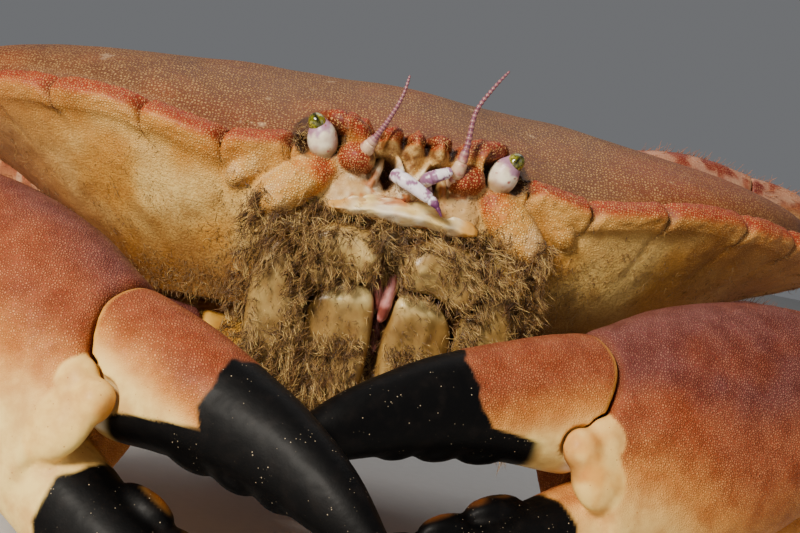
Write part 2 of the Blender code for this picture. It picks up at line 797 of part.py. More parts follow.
def make_antenna(side, material):
    """The short stalk segments and the tapering whip of one antenna, rising beside the eye."""
    word = "left" if side > 0 else "right"
    radii = (1.1, 1.25, 1.35, 1.2, 1.0, 0.8, 0.7, 0.62, 0.54, 0.46, 0.38, 0.3)
    return ring_solid(f"antenna_{word}", curved_rings(ANTENNAE[word], radii, 8), material)


def make_antennule(side, material):
    """A small jointed feeler, folded out of the pit beside the middle of the face."""
    word = "left" if side > 0 else "right"
    if side < 0:
        radii = (0.9, 1.0, 1.1, 1.25, 1.45, 1.4, 1.3, 1.1, 0.8, 0.4)
    else:
        radii = (0.9, 1.0, 1.1, 1.2, 1.35, 1.4, 1.3, 1.1, 0.9, 0.6)
    return ring_solid(f"antennule_{word}", curved_rings(ANTENNULES[word], radii, 8), material)


def make_epistome(material):
    """The pale plate above the mouth, with the wedge that parts the two feeler pits."""
    half_width, low, high, back = FACE_PIT
    low_edge = low + GAP
    outline = [
        (-half_width + GAP, low_edge), (half_width - GAP, low_edge), (half_width - GAP, -7.6), (5.2, -6.8),
        (1.6, -7.0), (0.6, high - GAP), (-0.6, high - GAP), (-1.6, -7.0), (-5.2, -6.8), (-half_width + GAP, -7.6),
    ]
    rings = [
        [Vector((x, back - GAP, z)) for x, z in outline],
        [Vector((x, back - 4.2, z)) for x, z in outline],
        [Vector((x * 0.9, back - 5.6, z * 0.92 - 0.8)) for x, z in outline],
    ]
    return ring_solid("epistome", rings, material)


def plate(name, outline, rise, material, dome=1.3):
    """A domed plate of the mouth shield, from its outline in u and v."""
    centre = (sum(u for u, _ in outline) / len(outline), sum(v for _, v in outline) / len(outline))
    rings = []
    for share, height in ((1, GAP), (1, rise * 0.62), (0.86, rise * 0.9), (0.45, rise)):
        rings.append(
            [
                mouth_point(centre[0] + (u - centre[0]) * share, centre[1] + (v - centre[1]) * share, height)
                for u, v in outline
            ]
        )
    obj = ring_solid(name, rings, material)
    last = obj.data.vertices[len(obj.data.vertices) - 1]
    last.co = mouth_point(centre[0], centre[1], rise + dome * 0.3) * MM
    return obj


def make_maxillipeds(side, material):
    """Outer strip, lower plate and upper plate of one third maxilliped."""
    word = "left" if side > 0 else "right"
    lower = [
        (1.0, -13.5), (3.5, -16.2), (12, -16.2), (15.6, -13), (16.0, -4), (15.8, 1.2), (9, 2.4), (1.6, 0.6),
        (1.0, -6),
    ]
    upper = [
        (2.6, 1.2), (9, 3.0), (15.8, 1.8), (16.2, 8), (14.6, 13.4), (9, 15.8), (4.4, 15.2), (2.6, 11.5), (3.0, 6),
    ]
    outer = [
        (16.6, -13.5), (20.2, -14.6), (22.0, -11), (22.4, 0), (22.0, 9), (20.2, 13.6), (17.4, 13.2), (16.9, 4),
        (16.5, -4),
    ]
    made = []
    for part, outline, rise in (
        ("maxilliped_ischium", lower, PLATE_RISE),
        ("maxilliped_merus", upper, PLATE_RISE),
        ("maxilliped_exopod", outer, PLATE_RISE * 0.86),
    ):
        turned = [(side * u, v) for u, v in outline]
        made.append(plate(f"{part}_{word}", turned, rise, material))
    return made


def stand_on_floor(root):
    """Moves the crab so that the origin is under the middle of its bounding box."""
    bpy.context.view_layer.update()
    corners = [
        obj.matrix_world @ Vector(corner)
        for obj in bpy.context.scene.objects
        if obj.type == "MESH"
        for corner in obj.bound_box
    ]
    for axis in (0, 1):
        low, high = min(c[axis] for c in corners), max(c[axis] for c in corners)
        root.location[axis] = -(low + high) / 2


def main():
    clear_scene()
    materials = make_materials()
    matrix = shell_matrix()

    shell = make_shell(materials["shell"])
    breast = make_breast(materials["underside"])
    boolean(breast, hip_solids(matrix.inverted()), "UNION")
    tail = make_tail(materials["underside"])
    boolean(tail, [grown_copy(shell), grown_copy(breast)], "DIFFERENCE")

    antennae = [make_antenna(side, materials["feeler"]) for side in (-1, 1)]
    antennules = [make_antennule(side, materials["feeler"]) for side in (-1, 1)]
    eyes = [part for side in (-1, 1) for part in make_eye(side, materials)]
    half_width, low, high, back = FACE_PIT
    cutters = [mouth_cutter(), box_cutter((-half_width, -75, low), (half_width, back, high))]
    for side in (-1, 1):
        orbit = Vector((side * ORBIT_CENTRE.x, ORBIT_CENTRE.y, ORBIT_CENTRE.z))
        cutters.append(ellipsoid("orbit", orbit, ORBIT_SIZE, 12, 8))
    cutters += [grown_copy(part) for part in (*antennae, *antennules, eyes[0], eyes[2])]
    boolean(shell, cutters, "DIFFERENCE")
    boolean(breast, [mouth_cutter()], "DIFFERENCE")

    epistome = make_epistome(materials["underside"])
    boolean(epistome, [grown_copy(antennule) for antennule in antennules], "DIFFERENCE")
    in_shell_frame = [shell, breast, tail, epistome, *antennae, *antennules, *eyes]
    for side in (-1, 1):
        in_shell_frame += make_maxillipeds(side, materials["mouth"])

    crab = bpy.data.objects.new("crab", None)
    shell_frame = bpy.data.objects.new("shell_frame", None)
    for empty in (crab, shell_frame):
        bpy.context.scene.collection.objects.link(empty)
    shell_frame.parent = crab
    shell_frame.location = (0, 0, BODY_HEIGHT * MM)
    shell_frame.rotation_euler = (-NOSE_UP, 0, 0)
    for obj in in_shell_frame:
        obj.parent = shell_frame

    for side in (-1, 1):
        limbs = make_claw(side, materials)
        for index in range(len(LEG_HIPS)):
            limbs += make_leg(index, side, materials)
        for obj in limbs:
            obj.parent = crab
    stand_on_floor(crab)


main()
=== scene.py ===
"""Looks of a life-size edible crab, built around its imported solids.

Shapes are worked out in millimetres, in the shell's own frame (x to the crab's left, y to its rear, z up)
or in the frame of the floor, and turned into metres in the model's frame when a mesh is made.
"""

import math

import bpy
import numpy as np
from mathutils import Matrix, Vector
from mathutils.bvhtree import BVHTree


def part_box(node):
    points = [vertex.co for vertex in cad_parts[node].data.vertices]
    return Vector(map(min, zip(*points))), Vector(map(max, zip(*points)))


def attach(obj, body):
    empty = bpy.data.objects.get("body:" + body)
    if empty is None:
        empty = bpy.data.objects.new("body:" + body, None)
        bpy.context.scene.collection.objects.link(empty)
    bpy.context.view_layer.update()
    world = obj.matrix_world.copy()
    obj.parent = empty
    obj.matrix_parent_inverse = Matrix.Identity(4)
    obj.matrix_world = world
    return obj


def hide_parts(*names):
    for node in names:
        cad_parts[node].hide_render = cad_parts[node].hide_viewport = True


MM = 0.001
GAP = 0.3

# Stance and outline of the shell, as in the solids
NOSE_UP = math.radians(8)
BODY_HEIGHT = 70.5
HALF_WIDTH = 95
FRONT_LENGTH = 58
FRONT_POWER = 2.25
REAR_LENGTH = 66
REAR_POWER = 1.75
REAR_CUT = 60
BACK_HEIGHT = 17.3
BACK_FALL = ((3.5, 1.15), (1.6, 0.28), (2.4, 0.6))
BACK_SHARES = (0.2, 0.42, 0.62, 0.79, 0.91, 0.975)
RIM_WIDTH = 4.2
RIM_RISE = 2.2
RIM_DIP = 4.6
RIM_DIP_AT = 32
RIM_DIP_WIDTH = 17
RIM_LEVEL = 2.0
LOBE_START = 21.5
LOBE_WIDTHS = (11.5, 14.5, 17, 13.5, 12, 10.5, 9.5, 8.5, 7.5)
LOBE_SWELL = 1.0
NOTCH_DEPTH = 2.2
FRONT_LOBES = (
    (0, 1.6, 1.2), (2.1, -0.9, -1.2), (4.2, 1.6, 1.4), (6.7, -1.4, -0.8),
    (9.6, 0.6, 2.2), (12.2, 1.8, 3.0), (15.5, 0.3, 1.6), (18.6, 0.2, 0.2),
)
LOBES_END = math.radians(94)

# Places on the shell's profile are counted in its control points. 0 is the middle of the back, 6 its edge,
# 7 the inner edge of the rim, 9 its outermost line, 10 its lower edge and 15 the lower edge of the cheeks.
# Each stretch of rows goes from one place to another with so many rows.
SHELL_ROWS = ((0, 1, 8), (1, 6, 62), (6, 7, 12), (7, 10, 40), (10, 12.8, 62), (12.8, 15, 22))
COLUMN_STEP = 0.27
SIDE_STEP = 0.2
REAR_STEP = 0.45
CHEEK_LEVELS = (-4.5, -10, -16, -22.5, -29)
CHEEK_SHARES = {
    0: (0.975, 0.965, 0.945, 0.915, 0.88),
    38: (0.955, 0.91, 0.85, 0.77, 0.69),
    90: (0.955, 0.80, 0.67, 0.54, 0.42),
    125: (0.955, 0.81, 0.69, 0.57, 0.47),
    150: (0.96, 0.87, 0.77, 0.68, 0.60),
    180: (0.965, 0.94, 0.90, 0.85, 0.79),
}
BREAST_LEVELS = (-29.3, -36, -42, -46)
BREAST_SHARES = {
    0: (0.87, 0.82, 0.74, 0.60),
    38: (0.56, 0.53, 0.48, 0.38),
    90: (0.37, 0.35, 0.31, 0.24),
    125: (0.42, 0.39, 0.34, 0.27),
    150: (0.57, 0.53, 0.47, 0.36),
    180: (0.78, 0.73, 0.65, 0.50),
}
BREAST_DEPTH = -47

# Face
ORBIT_CENTRE = (16.6, -58.0, 1.2)
ORBIT_SIZE = (4.5, 6.2, 4.6)
PIT_CENTRE = (4.7, -57.0, -3.4)
PIT_SIZE = (2.9, 6.0, 3.2)
STALK_BASE = (15.1, -55.2, -3.3)
STALK_LINE = (0.28, -0.36, 0.89)
STALK_LENGTH = 6.9
CORNEA_AT = 5.4
WHIP_RINGS = 30
ANTENNA_SIDES = 20
ANTENNULE_SIDES = 24
FACE_LUMPS = (
    (8.9, -53.2, -7.2, 5.2, 3.1, 4.6, -15, "plate"),
    (5.9, -54.0, -3.6, 0.9, 2.8, 3.4, -14, "plate"),
    (1.7, -56.2, -2.4, 0.55, 2.6, 3.0, 26, "plate"),
    (0.0, -56.0, -5.6, 0.9, 2.4, 1.9, 0, "plate"),
    (27.0, -52.2, -5.2, 5.6, 3.3, 2.6, 52, "tip"),
    (19.0, -53.9, -7.6, 8.4, 4.4, 3.9, 42, "tip"),
    (9.7, -55.9, -1.6, 3.3, 4.0, 2.7, -6, "red"),
    (12.0, -55.8, 3.8, 4.3, 3.0, 1.9, -18, "red"),
    (4.3, -56.6, 3.7, 1.9, 2.4, 1.35, 6, "red"),
    (0.0, -56.8, 3.3, 1.6, 2.4, 1.35, 0, "red"),
)
ANTENNAE = {
    -1: (
        (-8.6, -55.6, -1.4), (-8.3, -59.4, 0.2), (-7.1, -61.2, 2.4), (-5.6, -61.4, 5.6),
        (-4.2, -61.2, 9.6), (-3.6, -60.6, 13.4),
    ),
    1: (
        (7.4, -55.6, -2.6), (7.7, -59.6, -0.6), (8.2, -61.2, 3.6), (8.6, -61.2, 9.4),
        (10.8, -60.6, 14.0), (13.2, -60.0, 17.8),
    ),
}
ANTENNULES = {
    -1: (
        (-2.6, -52.8, -3.2), (-2.7, -56.8, -3.3), (-2.0, -59.6, -3.9), (1.4, -60.8, -5.6),
        (4.4, -61.5, -7.4), (5.9, -61.9, -9.4),
    ),
    1: ((4.4, -52.8, -4.8), (2.6, -57.0, -3.6), (3.4, -60.2, -2.9), (5.4, -60.8, -1.9), (6.3, -60.8, -1.1)),
}

# Mouth shield, on a plane tilted out of the upright
MOUTH_CENTRE = (0, -46.0, -26.4)
MOUTH_TILT = math.radians(21.5)
MOUTH_HALF_WIDTH = 23.5
MOUTH_HALF_HEIGHT = 17.2
PLATE_RISE = 7.5

# Walking legs
LEG_LENGTHS = (58, 27, 34, 36)
LEG_HIPS = ((-13, 29), (0, 29), (13, 28), (25, 26))
LEG_HEADINGS = (-3, 11, 27, 48)
LEG_SCALES = (0.94, 1.0, 1.0, 1.03)
LEG_SLOPES = (6, -42, -63)
HIP_LEVEL = -38.5
HIP_RADIUS = 5.9
HIP_REACH = 8
RAISED_LINES = ((25, 42, 31.5), (7.5, -1, 26), (33, 9, 1.5), (33, 9, -7))
LEG_WIDE = (
    (5.2, 7.6, 8.6, 8.2, 6.6), (6.4, 7.8, 7.6, 6.2), (6.0, 6.9, 6.4, 4.8), (4.6, 4.2, 3.2, 1.9, 1.1),
)
LEG_THICK = (
    (4.6, 4.9, 5.0, 4.9, 4.4), (4.4, 5.0, 4.9, 4.2), (4.1, 4.4, 4.1, 3.4), (3.3, 3.1, 2.5, 1.7, 1.1),
)
LEG_BOW = (2.0, 1.4, 0.6, 2.6)

# Claws
CLAW_HIP = (31, -30, -38.2)
CLAW_HIP_RADIUS = 7.6
PALM_LENGTH = 60
PALM_WIDE = (10.5, 16.5, 20, 20.8, 20.2, 19.6)
PALM_THICK = (8.5, 12, 13.6, 13.6, 12.4, 10.8)
CLAWS = {
    -1: {"end": (-40.3, -93.1, 31.6), "line": (0.754, -0.578, -0.304)},
    1: {"end": (30.8, -80.4, 36.0), "line": (-0.890, -0.383, -0.253)},
}
PALM_LEAN = math.radians(9)
CLAW_OPEN = math.radians(1)
ELBOWS = {-1: (-97, -37, 31.5), 1: (97, -38, 32.5)}
FINGER_WIDE = (8.2, 8.0, 7.2, 5.8, 4.2, 2.2)
FINGER_THICK = (8.2, 7.4, 6.2, 5.0, 3.8, 2.0)
THUMB_WIDE = (10.8, 9.6, 8.0, 6.4, 4.8, 2.4)
THUMB_THICK = (9.4, 8.2, 6.6, 5.2, 4.0, 2.2)
FINGER_LENGTH = 48
FINGER_DROP = 10.2
THUMB_LIFT = 8.3
THUMB_BOW = 3.2
FINGER_BOW = -3.4
TOOTH_SPOTS = (0.3, 0.46, 0.61, 0.75)
TOOTH_RADIUS = 2.63
TOOTH_SHRINK = 0.37
SEAM_LEAN = 8.0
KNOB_DROP = {-1: 6.6, 1: 5.4}
BLACK_STARTS = {-1: (0.44, 0.42, 0.30), 1: (0.42, 0.29, 0.36)}
STRIP_STARTS = {-1: 0.04, 1: 0.15}

# Tail, folded under the body
TAIL_LINE = (
    (59.0, -11), (57.2, -20), (50.6, -32), (44.0, -43.5),
    (30, -49.2), (12, -49.4), (-6, -49.4), (-14, -49.2),
)
TAIL_WIDE = (14.5, 19.5, 22.5, 24.5, 25.5, 24.0, 16.5, 6)
TAIL_THICK = 2.7
TAIL_SIDES = 72

# Camera: its turns, the spot between the eyes, and how far from that spot it stands
CAMERA_TURN = math.radians(-6)
CAMERA_RISE = math.radians(3)
CAMERA_ROLL = math.radians(11.3)
CAMERA_AIM = (0, -57.3, 2.2)
CAMERA_ASIDE = 1.3
CAMERA_BELOW = 20.7
CAMERA_DISTANCE = 250
HALF_VIEW = math.radians(15.37)

# Colours as seen, 0 to 1, and the power that turns them into the light they reflect
COLOUR_POWER = 2.6
RED_BROWN = (0.56, 0.31, 0.17)
GREY_BROWN = (0.48, 0.34, 0.23)
RIM_RED = (0.67, 0.28, 0.10)
ORANGE = (0.85, 0.49, 0.12)
TAN = (0.83, 0.64, 0.32)
CREAM = (0.92, 0.81, 0.53)
WHITE = (0.94, 0.90, 0.80)
ROSE = (0.72, 0.46, 0.33)
PLUM = (0.56, 0.37, 0.36)
BLACK = (0.06, 0.055, 0.06)
HAIR_BROWN = (0.44, 0.30, 0.14)
HAIR_GOLD = (0.93, 0.80, 0.52)

# Bristles: how many, for the mouth on each side and for each segment of a leg
MOUTH_BRISTLES = 10400
FACE_BRISTLES = 4200
CHEEK_BRISTLES = 13900
TAIL_BRISTLES = 2400
LEG_BRISTLES = (460, 280, 340, 370)
UV_PATCH = 0.003

SIDES = (-1, 1)
SIDE_WORDS = {-1: "right", 1: "left"}
UPRIGHT = (0, 0, 1.0)
NO_QUADS = np.empty((0, 4), int)
NO_TRIS = np.empty((0, 3), int)

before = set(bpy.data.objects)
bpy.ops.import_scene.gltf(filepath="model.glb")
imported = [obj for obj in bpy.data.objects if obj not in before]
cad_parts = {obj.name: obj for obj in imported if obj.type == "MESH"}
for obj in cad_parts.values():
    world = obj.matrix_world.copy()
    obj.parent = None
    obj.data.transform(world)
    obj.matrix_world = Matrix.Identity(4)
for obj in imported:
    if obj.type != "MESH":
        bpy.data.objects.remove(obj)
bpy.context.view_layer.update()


# Numbers and fields


def smooth(value, low, high):
    t = np.clip((value - low) / (high - low), 0, 1)
    return t * t * (3 - 2 * t)


def along(sizes, share):
    """Sizes at these shares of the way along a few evenly spaced ones, on a smooth curve through them."""
    sizes = np.asarray(sizes, float)
    place = np.clip(np.asarray(share, float), 0, 1) * (len(sizes) - 1)
    return between(sizes, place)


def between(sizes, place):
    """Smooth curve through the rows of an array, read at these places counted in rows."""
    last = len(sizes) - 1
    i = np.minimum(np.floor(place).astype(int), last - 1)
    t = place - i
    t = t.reshape(t.shape + (1,) * (sizes.ndim - 1))
    before, start, end, after = (sizes[np.clip(k, 0, last)] for k in (i - 1, i, i + 1, i + 2))
    turn = t * t * (3 - 2 * t)
    slope_in, slope_out = (end - before) / 2, (after - start) / 2
    return start + (end - start) * turn + slope_in * t * (1 - t) ** 2 - slope_out * t * t * (1 - t)


def hashed(cell, seed):
    """A random number from -1 to 1 for each cell of a grid."""
    number = seed * 974634777
    for axis, step in enumerate((374761393, 668265263, 2147483629)):
        number = number + cell[..., axis] * step
    number = (number ^ (number >> 13)) & 0xFFFFFFFF
    number = (number * 1274126177) & 0xFFFFFFFF
    return ((number ^ (number >> 16)) & 0xFFFF) / 32767.5 - 1


def noise(points, size, seed=0):
    """Smooth random field from -1 to 1 whose lumps are about this size."""
    place = np.asarray(points, float) / size
    cell = np.floor(place).astype(np.int64)
    t = place - cell
    t = t * t * (3 - 2 * t)
    total = 0
    for corner in range(8):
        step = np.array([corner & 1, corner >> 1 & 1, corner >> 2 & 1])
        weight = np.prod(np.where(step, t, 1 - t), axis=-1)
        total = total + weight * hashed(cell + step, seed)
    return total


def rough(points, size, seed, octaves=3):
    """The same field with finer lumps on the coarse ones."""
    total = sum(noise(points, size / 2**k, seed + k) / 2**k for k in range(octaves))
    return total / (2 - 0.5 ** (octaves - 1))


def blotch(points, size, seed, low, high):
    """Random patches from 0 to 1, with soft edges where the field passes between these levels."""
    return smooth(rough(points, size, seed), low, high)


def bell(*distances, power=2):
    """1 where every distance is 0, falling to nearly 0 where one of them is 2."""
    total = -(distances[0] ** power)
    for distance in distances[1:]:
        total = total - distance**power
    return np.exp(total)


def circle(count):
    return np.linspace(0, 2 * math.pi, count, endpoint=False)


def offset_circle(count):
    """Angles of a circle that begins half a step further on."""
    return 2 * math.pi * (np.arange(count) + 0.5) / count


def signed_power(value, power):
    return np.sign(value) * np.abs(value) ** power


def ring(side, up, around):
    """Unit circle at these angles, in the plane of two directions or of each pair of a list."""
    return side[..., None, :] * np.cos(around)[:, None] + up[..., None, :] * np.sin(around)[:, None]


def mix(first, second, share):
    first, second = np.asarray(first, float), np.asarray(second, float)
    return first + (second - first) * np.asarray(share)[..., None]


def mottled(points, first, second, size, seed, low, high):
    """One colour with random patches of another."""
    return mix(first, second, blotch(points, size, seed, low, high))


def unit(vectors):
    vectors = np.asarray(vectors, float)
    return vectors / np.maximum(np.linalg.norm(vectors, axis=-1, keepdims=True), 1e-9)


# Frames


def turned(angle, radius, level):
    """Points at these angles from straight ahead, distances from the middle and heights."""
    return np.stack([radius * np.sin(angle), -radius * np.cos(angle), level], -1)


def shell_to_floor(points):
    x, y, z = np.moveaxis(np.asarray(points, float), -1, 0)
    c, s = math.cos(-NOSE_UP), math.sin(-NOSE_UP)
    return np.stack([x, y * c - z * s, y * s + z * c + BODY_HEIGHT], axis=-1)


def outline_radius(angle):
    side, ahead = np.abs(np.sin(angle)), np.cos(angle)

    def oval(length, power):
        return ((side / HALF_WIDTH) ** power + (np.abs(ahead) / length) ** power) ** (-1 / power)

    rear = np.minimum(oval(REAR_LENGTH, REAR_POWER), REAR_CUT / np.maximum(-ahead, 1e-6))
    return np.where(ahead >= 0, oval(FRONT_LENGTH, FRONT_POWER), rear)


def outline_line(angle):
    """Places of the shell's outline across and along the body, and how far each is from the last."""
    radius = outline_radius(angle)
    line = np.stack([radius * np.sin(angle), -radius * np.cos(angle)], -1)
    return line, np.concatenate([[0], np.linalg.norm(np.diff(line, axis=0), axis=1)])


def rim_level(angle):
    across = outline_radius(angle) * np.abs(np.sin(angle))
    front = RIM_LEVEL - RIM_DIP * bell((across - RIM_DIP_AT) / RIM_DIP_WIDTH)
    return np.where(np.cos(angle) > 0, front, RIM_LEVEL + 3.5 * np.cos(angle) ** 3)


def find_shift():
    """How far the model's origin lies from the shell's middle line, in the frame of the floor."""
    low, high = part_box("carapace")
    angles = np.linspace(-math.pi, math.pi, 2001)
    ring = shell_to_floor(turned(angles, outline_radius(angles), rim_level(angles)))
    return np.array([(low.x + high.x) / 2 / MM, high.y / MM - ring[:, 1].max(), 0])


SHIFT = find_shift()


# Meshes


def added(name, data):
    """An object with this data, in the scene."""
    obj = bpy.data.objects.new(name, data)
    bpy.context.scene.collection.objects.link(obj)
    return obj


def build_mesh(
    name, points, quads=None, tris=None, material=None, paint=None, slot=None, replaces=(),
    floats=None, uv=None,
):
    """An object from points in the frame of the floor. paint is a colour for each point, floats more values
    for each point by name. With a slot, it is a piece of the model in place of the nodes it replaces."""
    faces = [np.asarray(part, np.int64) for part in (quads, tris) if part is not None and len(part)]
    mesh = bpy.data.meshes.new(name)
    mesh.vertices.add(len(points))
    place = (np.asarray(points, float) + SHIFT) * MM
    mesh.vertices.foreach_set("co", place.astype(np.float32).ravel())
    corners = np.concatenate([part.ravel() for part in faces])
    sizes = np.concatenate([np.full(len(part), part.shape[1]) for part in faces])
    mesh.loops.add(len(corners))
    mesh.loops.foreach_set("vertex_index", corners.astype(np.int32))
    mesh.polygons.add(len(sizes))
    mesh.polygons.foreach_set("loop_start", np.concatenate([[0], np.cumsum(sizes)[:-1]]).astype(np.int32))
    mesh.update(calc_edges=True)
    mesh.validate()
    mesh.shade_smooth()
    if uv is not None:
        layer = mesh.uv_layers.new(name="OFBake")
        order = np.empty(len(mesh.loops), np.int32)
        mesh.loops.foreach_get("vertex_index", order)
        layer.uv.foreach_set("vector", uv[order].astype(np.float32).ravel())
    if paint is not None:
        colour = np.ones((len(mesh.vertices), 4), np.float32)
        colour[:, :3] = np.clip(paint, 0.003, 1) ** COLOUR_POWER
        layer = mesh.attributes.new("paint", "FLOAT_COLOR", "POINT")
        layer.data.foreach_set("color", colour.ravel())
    for key, values in (floats or {}).items():
        layer = mesh.attributes.new(key, "FLOAT", "POINT")
        layer.data.foreach_set("value", np.asarray(values, np.float32).ravel())
    if material:
        mesh.materials.append(MATERIALS[material])
    obj = added(name, mesh)
    if slot:
        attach(obj, "root")
        if replaces:
            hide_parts(*replaces)
    return obj


def shell_piece(name, solid, material, colour, slot, node):
    """A piece of the model from points, quads and triangles in the shell's frame."""
    points, quads, tris = solid
    build_mesh(name, shell_to_floor(points), quads, tris, material, colour, slot, [node])


def halved(quads):
    """Two triangles for each quad."""
    return np.concatenate([quads[:, [0, 1, 2]], quads[:, [0, 2, 3]]])


def grid_quads(rows, columns):
    """Faces between the rows of a grid of points. Each row is a closed ring."""
    first, column = np.arange(rows - 1)[:, None] * columns, np.arange(columns)[None]
    a = (first + column).ravel()
    b = (first + (column + 1) % columns).ravel()
    return np.stack([a, b, b + columns, a + columns], -1)


def capped(rings):
    """Points, quads and triangles of a closed solid through rings of equal counts."""
    rings = np.asarray(rings, float)
    rows, columns = rings.shape[:2]
    points = np.concatenate([rings.reshape(-1, 3), [rings[0].mean(0)], [rings[-1].mean(0)]])
    i = np.arange(columns)
    j = (i + 1) % columns
    start = np.stack([j, i, np.full(columns, rows * columns)], -1)
    last = (rows - 1) * columns
    end = np.stack([last + i, last + j, np.full(columns, rows * columns + 1)], -1)
    return faced_out(points, grid_quads(rows, columns), np.concatenate([start, end]))


def faced_out(points, quads, tris):
    """The same closed solid with its faces turned so that they look outwards."""
    faces = np.concatenate([halved(quads), tris])
    a, b, c = (points[faces[:, k]] - points.mean(0) for k in range(3))
    if np.einsum("ij,ij->i", a, np.cross(b, c)).sum() < 0:
        quads, tris = quads[:, ::-1], tris[:, ::-1]
    return points, quads, tris


def joined(parts):
    """Several (points, quads, tris) as one."""
    points, quads, tris, first = [], [], [], 0
    for p, q, t in parts:
        points.append(p)
        quads.append(np.asarray(q, np.int64).reshape(-1, 4) + first)
        tris.append(np.asarray(t, np.int64).reshape(-1, 3) + first)
        first += len(p)
    return np.concatenate(points), np.concatenate(quads), np.concatenate(tris)


def normals_of(points, quads=NO_QUADS, tris=NO_TRIS):
    faces = np.concatenate([halved(quads), tris])
    a, b, c = (points[faces[:, k]] for k in range(3))
    normal = np.cross(b - a, c - a)
    total = np.zeros_like(points)
    for k in range(3):
        for axis in range(3):
            total[:, axis] += np.bincount(faces[:, k], normal[:, axis], len(points))
    return unit(total)


def read_mesh(obj):
    """Points of an object in the frame of the floor, and its triangles."""
    mesh = obj.data
    points = np.empty(len(mesh.vertices) * 3, np.float32)
    mesh.vertices.foreach_get("co", points)
    mesh.calc_loop_triangles()
    tris = np.empty(len(mesh.loop_triangles) * 3, np.int32)
    mesh.loop_triangles.foreach_get("vertices", tris)
    return points.reshape(-1, 3) / MM - SHIFT, tris.reshape(-1, 3)


def scatter(points, tris, count, rng, weight):
    """Random places on a surface, most where the weight is high, and the normals there."""
    a, b, c = (points[tris[:, k]] for k in range(3))
    normal = np.cross(b - a, c - a)
    area = np.linalg.norm(normal, axis=1)
    chance = area * weight[tris].mean(1)
    chosen = rng.choice(len(tris), count, p=chance / chance.sum())
    share = rng.random((count, 2))
    over = share.sum(1) > 1
    share[over] = 1 - share[over]
    weights = np.stack([1 - share.sum(1), share[:, 0], share[:, 1]], -1)
    place = (points[tris[chosen]] * weights[..., None]).sum(1)
    return place, unit(normal[chosen])


def lump_rings(centre, size, turn, segments, levels, power=2.0, bend=0.0):
    """Rounded lump with half sizes along its own axes, which are the columns of turn."""
    polar = np.linspace(0.02, math.pi - 0.02, levels)[:, None]
    around = circle(segments)[None]

    across = signed_power(np.sin(polar), 2 / power)
    x = across * signed_power(np.cos(around), 2 / power)
    y = across * signed_power(np.sin(around), 2 / power)
    z = signed_power(np.cos(polar), 2 / power) * np.ones_like(around)
    place = np.stack([x * size[0], y * size[1], z * size[2] + bend * x * x], -1)
    if turn is not None:
        place = place @ np.asarray(turn, float).T
    return place + np.asarray(centre, float)


def turn_y(degrees):
    """Turn in the plane of the face, in the sense that lifts +x for a positive angle."""
    c, s = math.cos(math.radians(degrees)), math.sin(math.radians(degrees))
    return np.array([[c, 0, -s], [0, 1, 0], [s, 0, c]])


def roughened(rings, size, height, seed):
    """The same rings with a random relief along their normals."""
    points, quads, tris = capped(rings)
    normal = normals_of(points, quads, tris)
    return points + normal * (rough(points, size, seed) * height)[:, None], quads, tris


# Materials


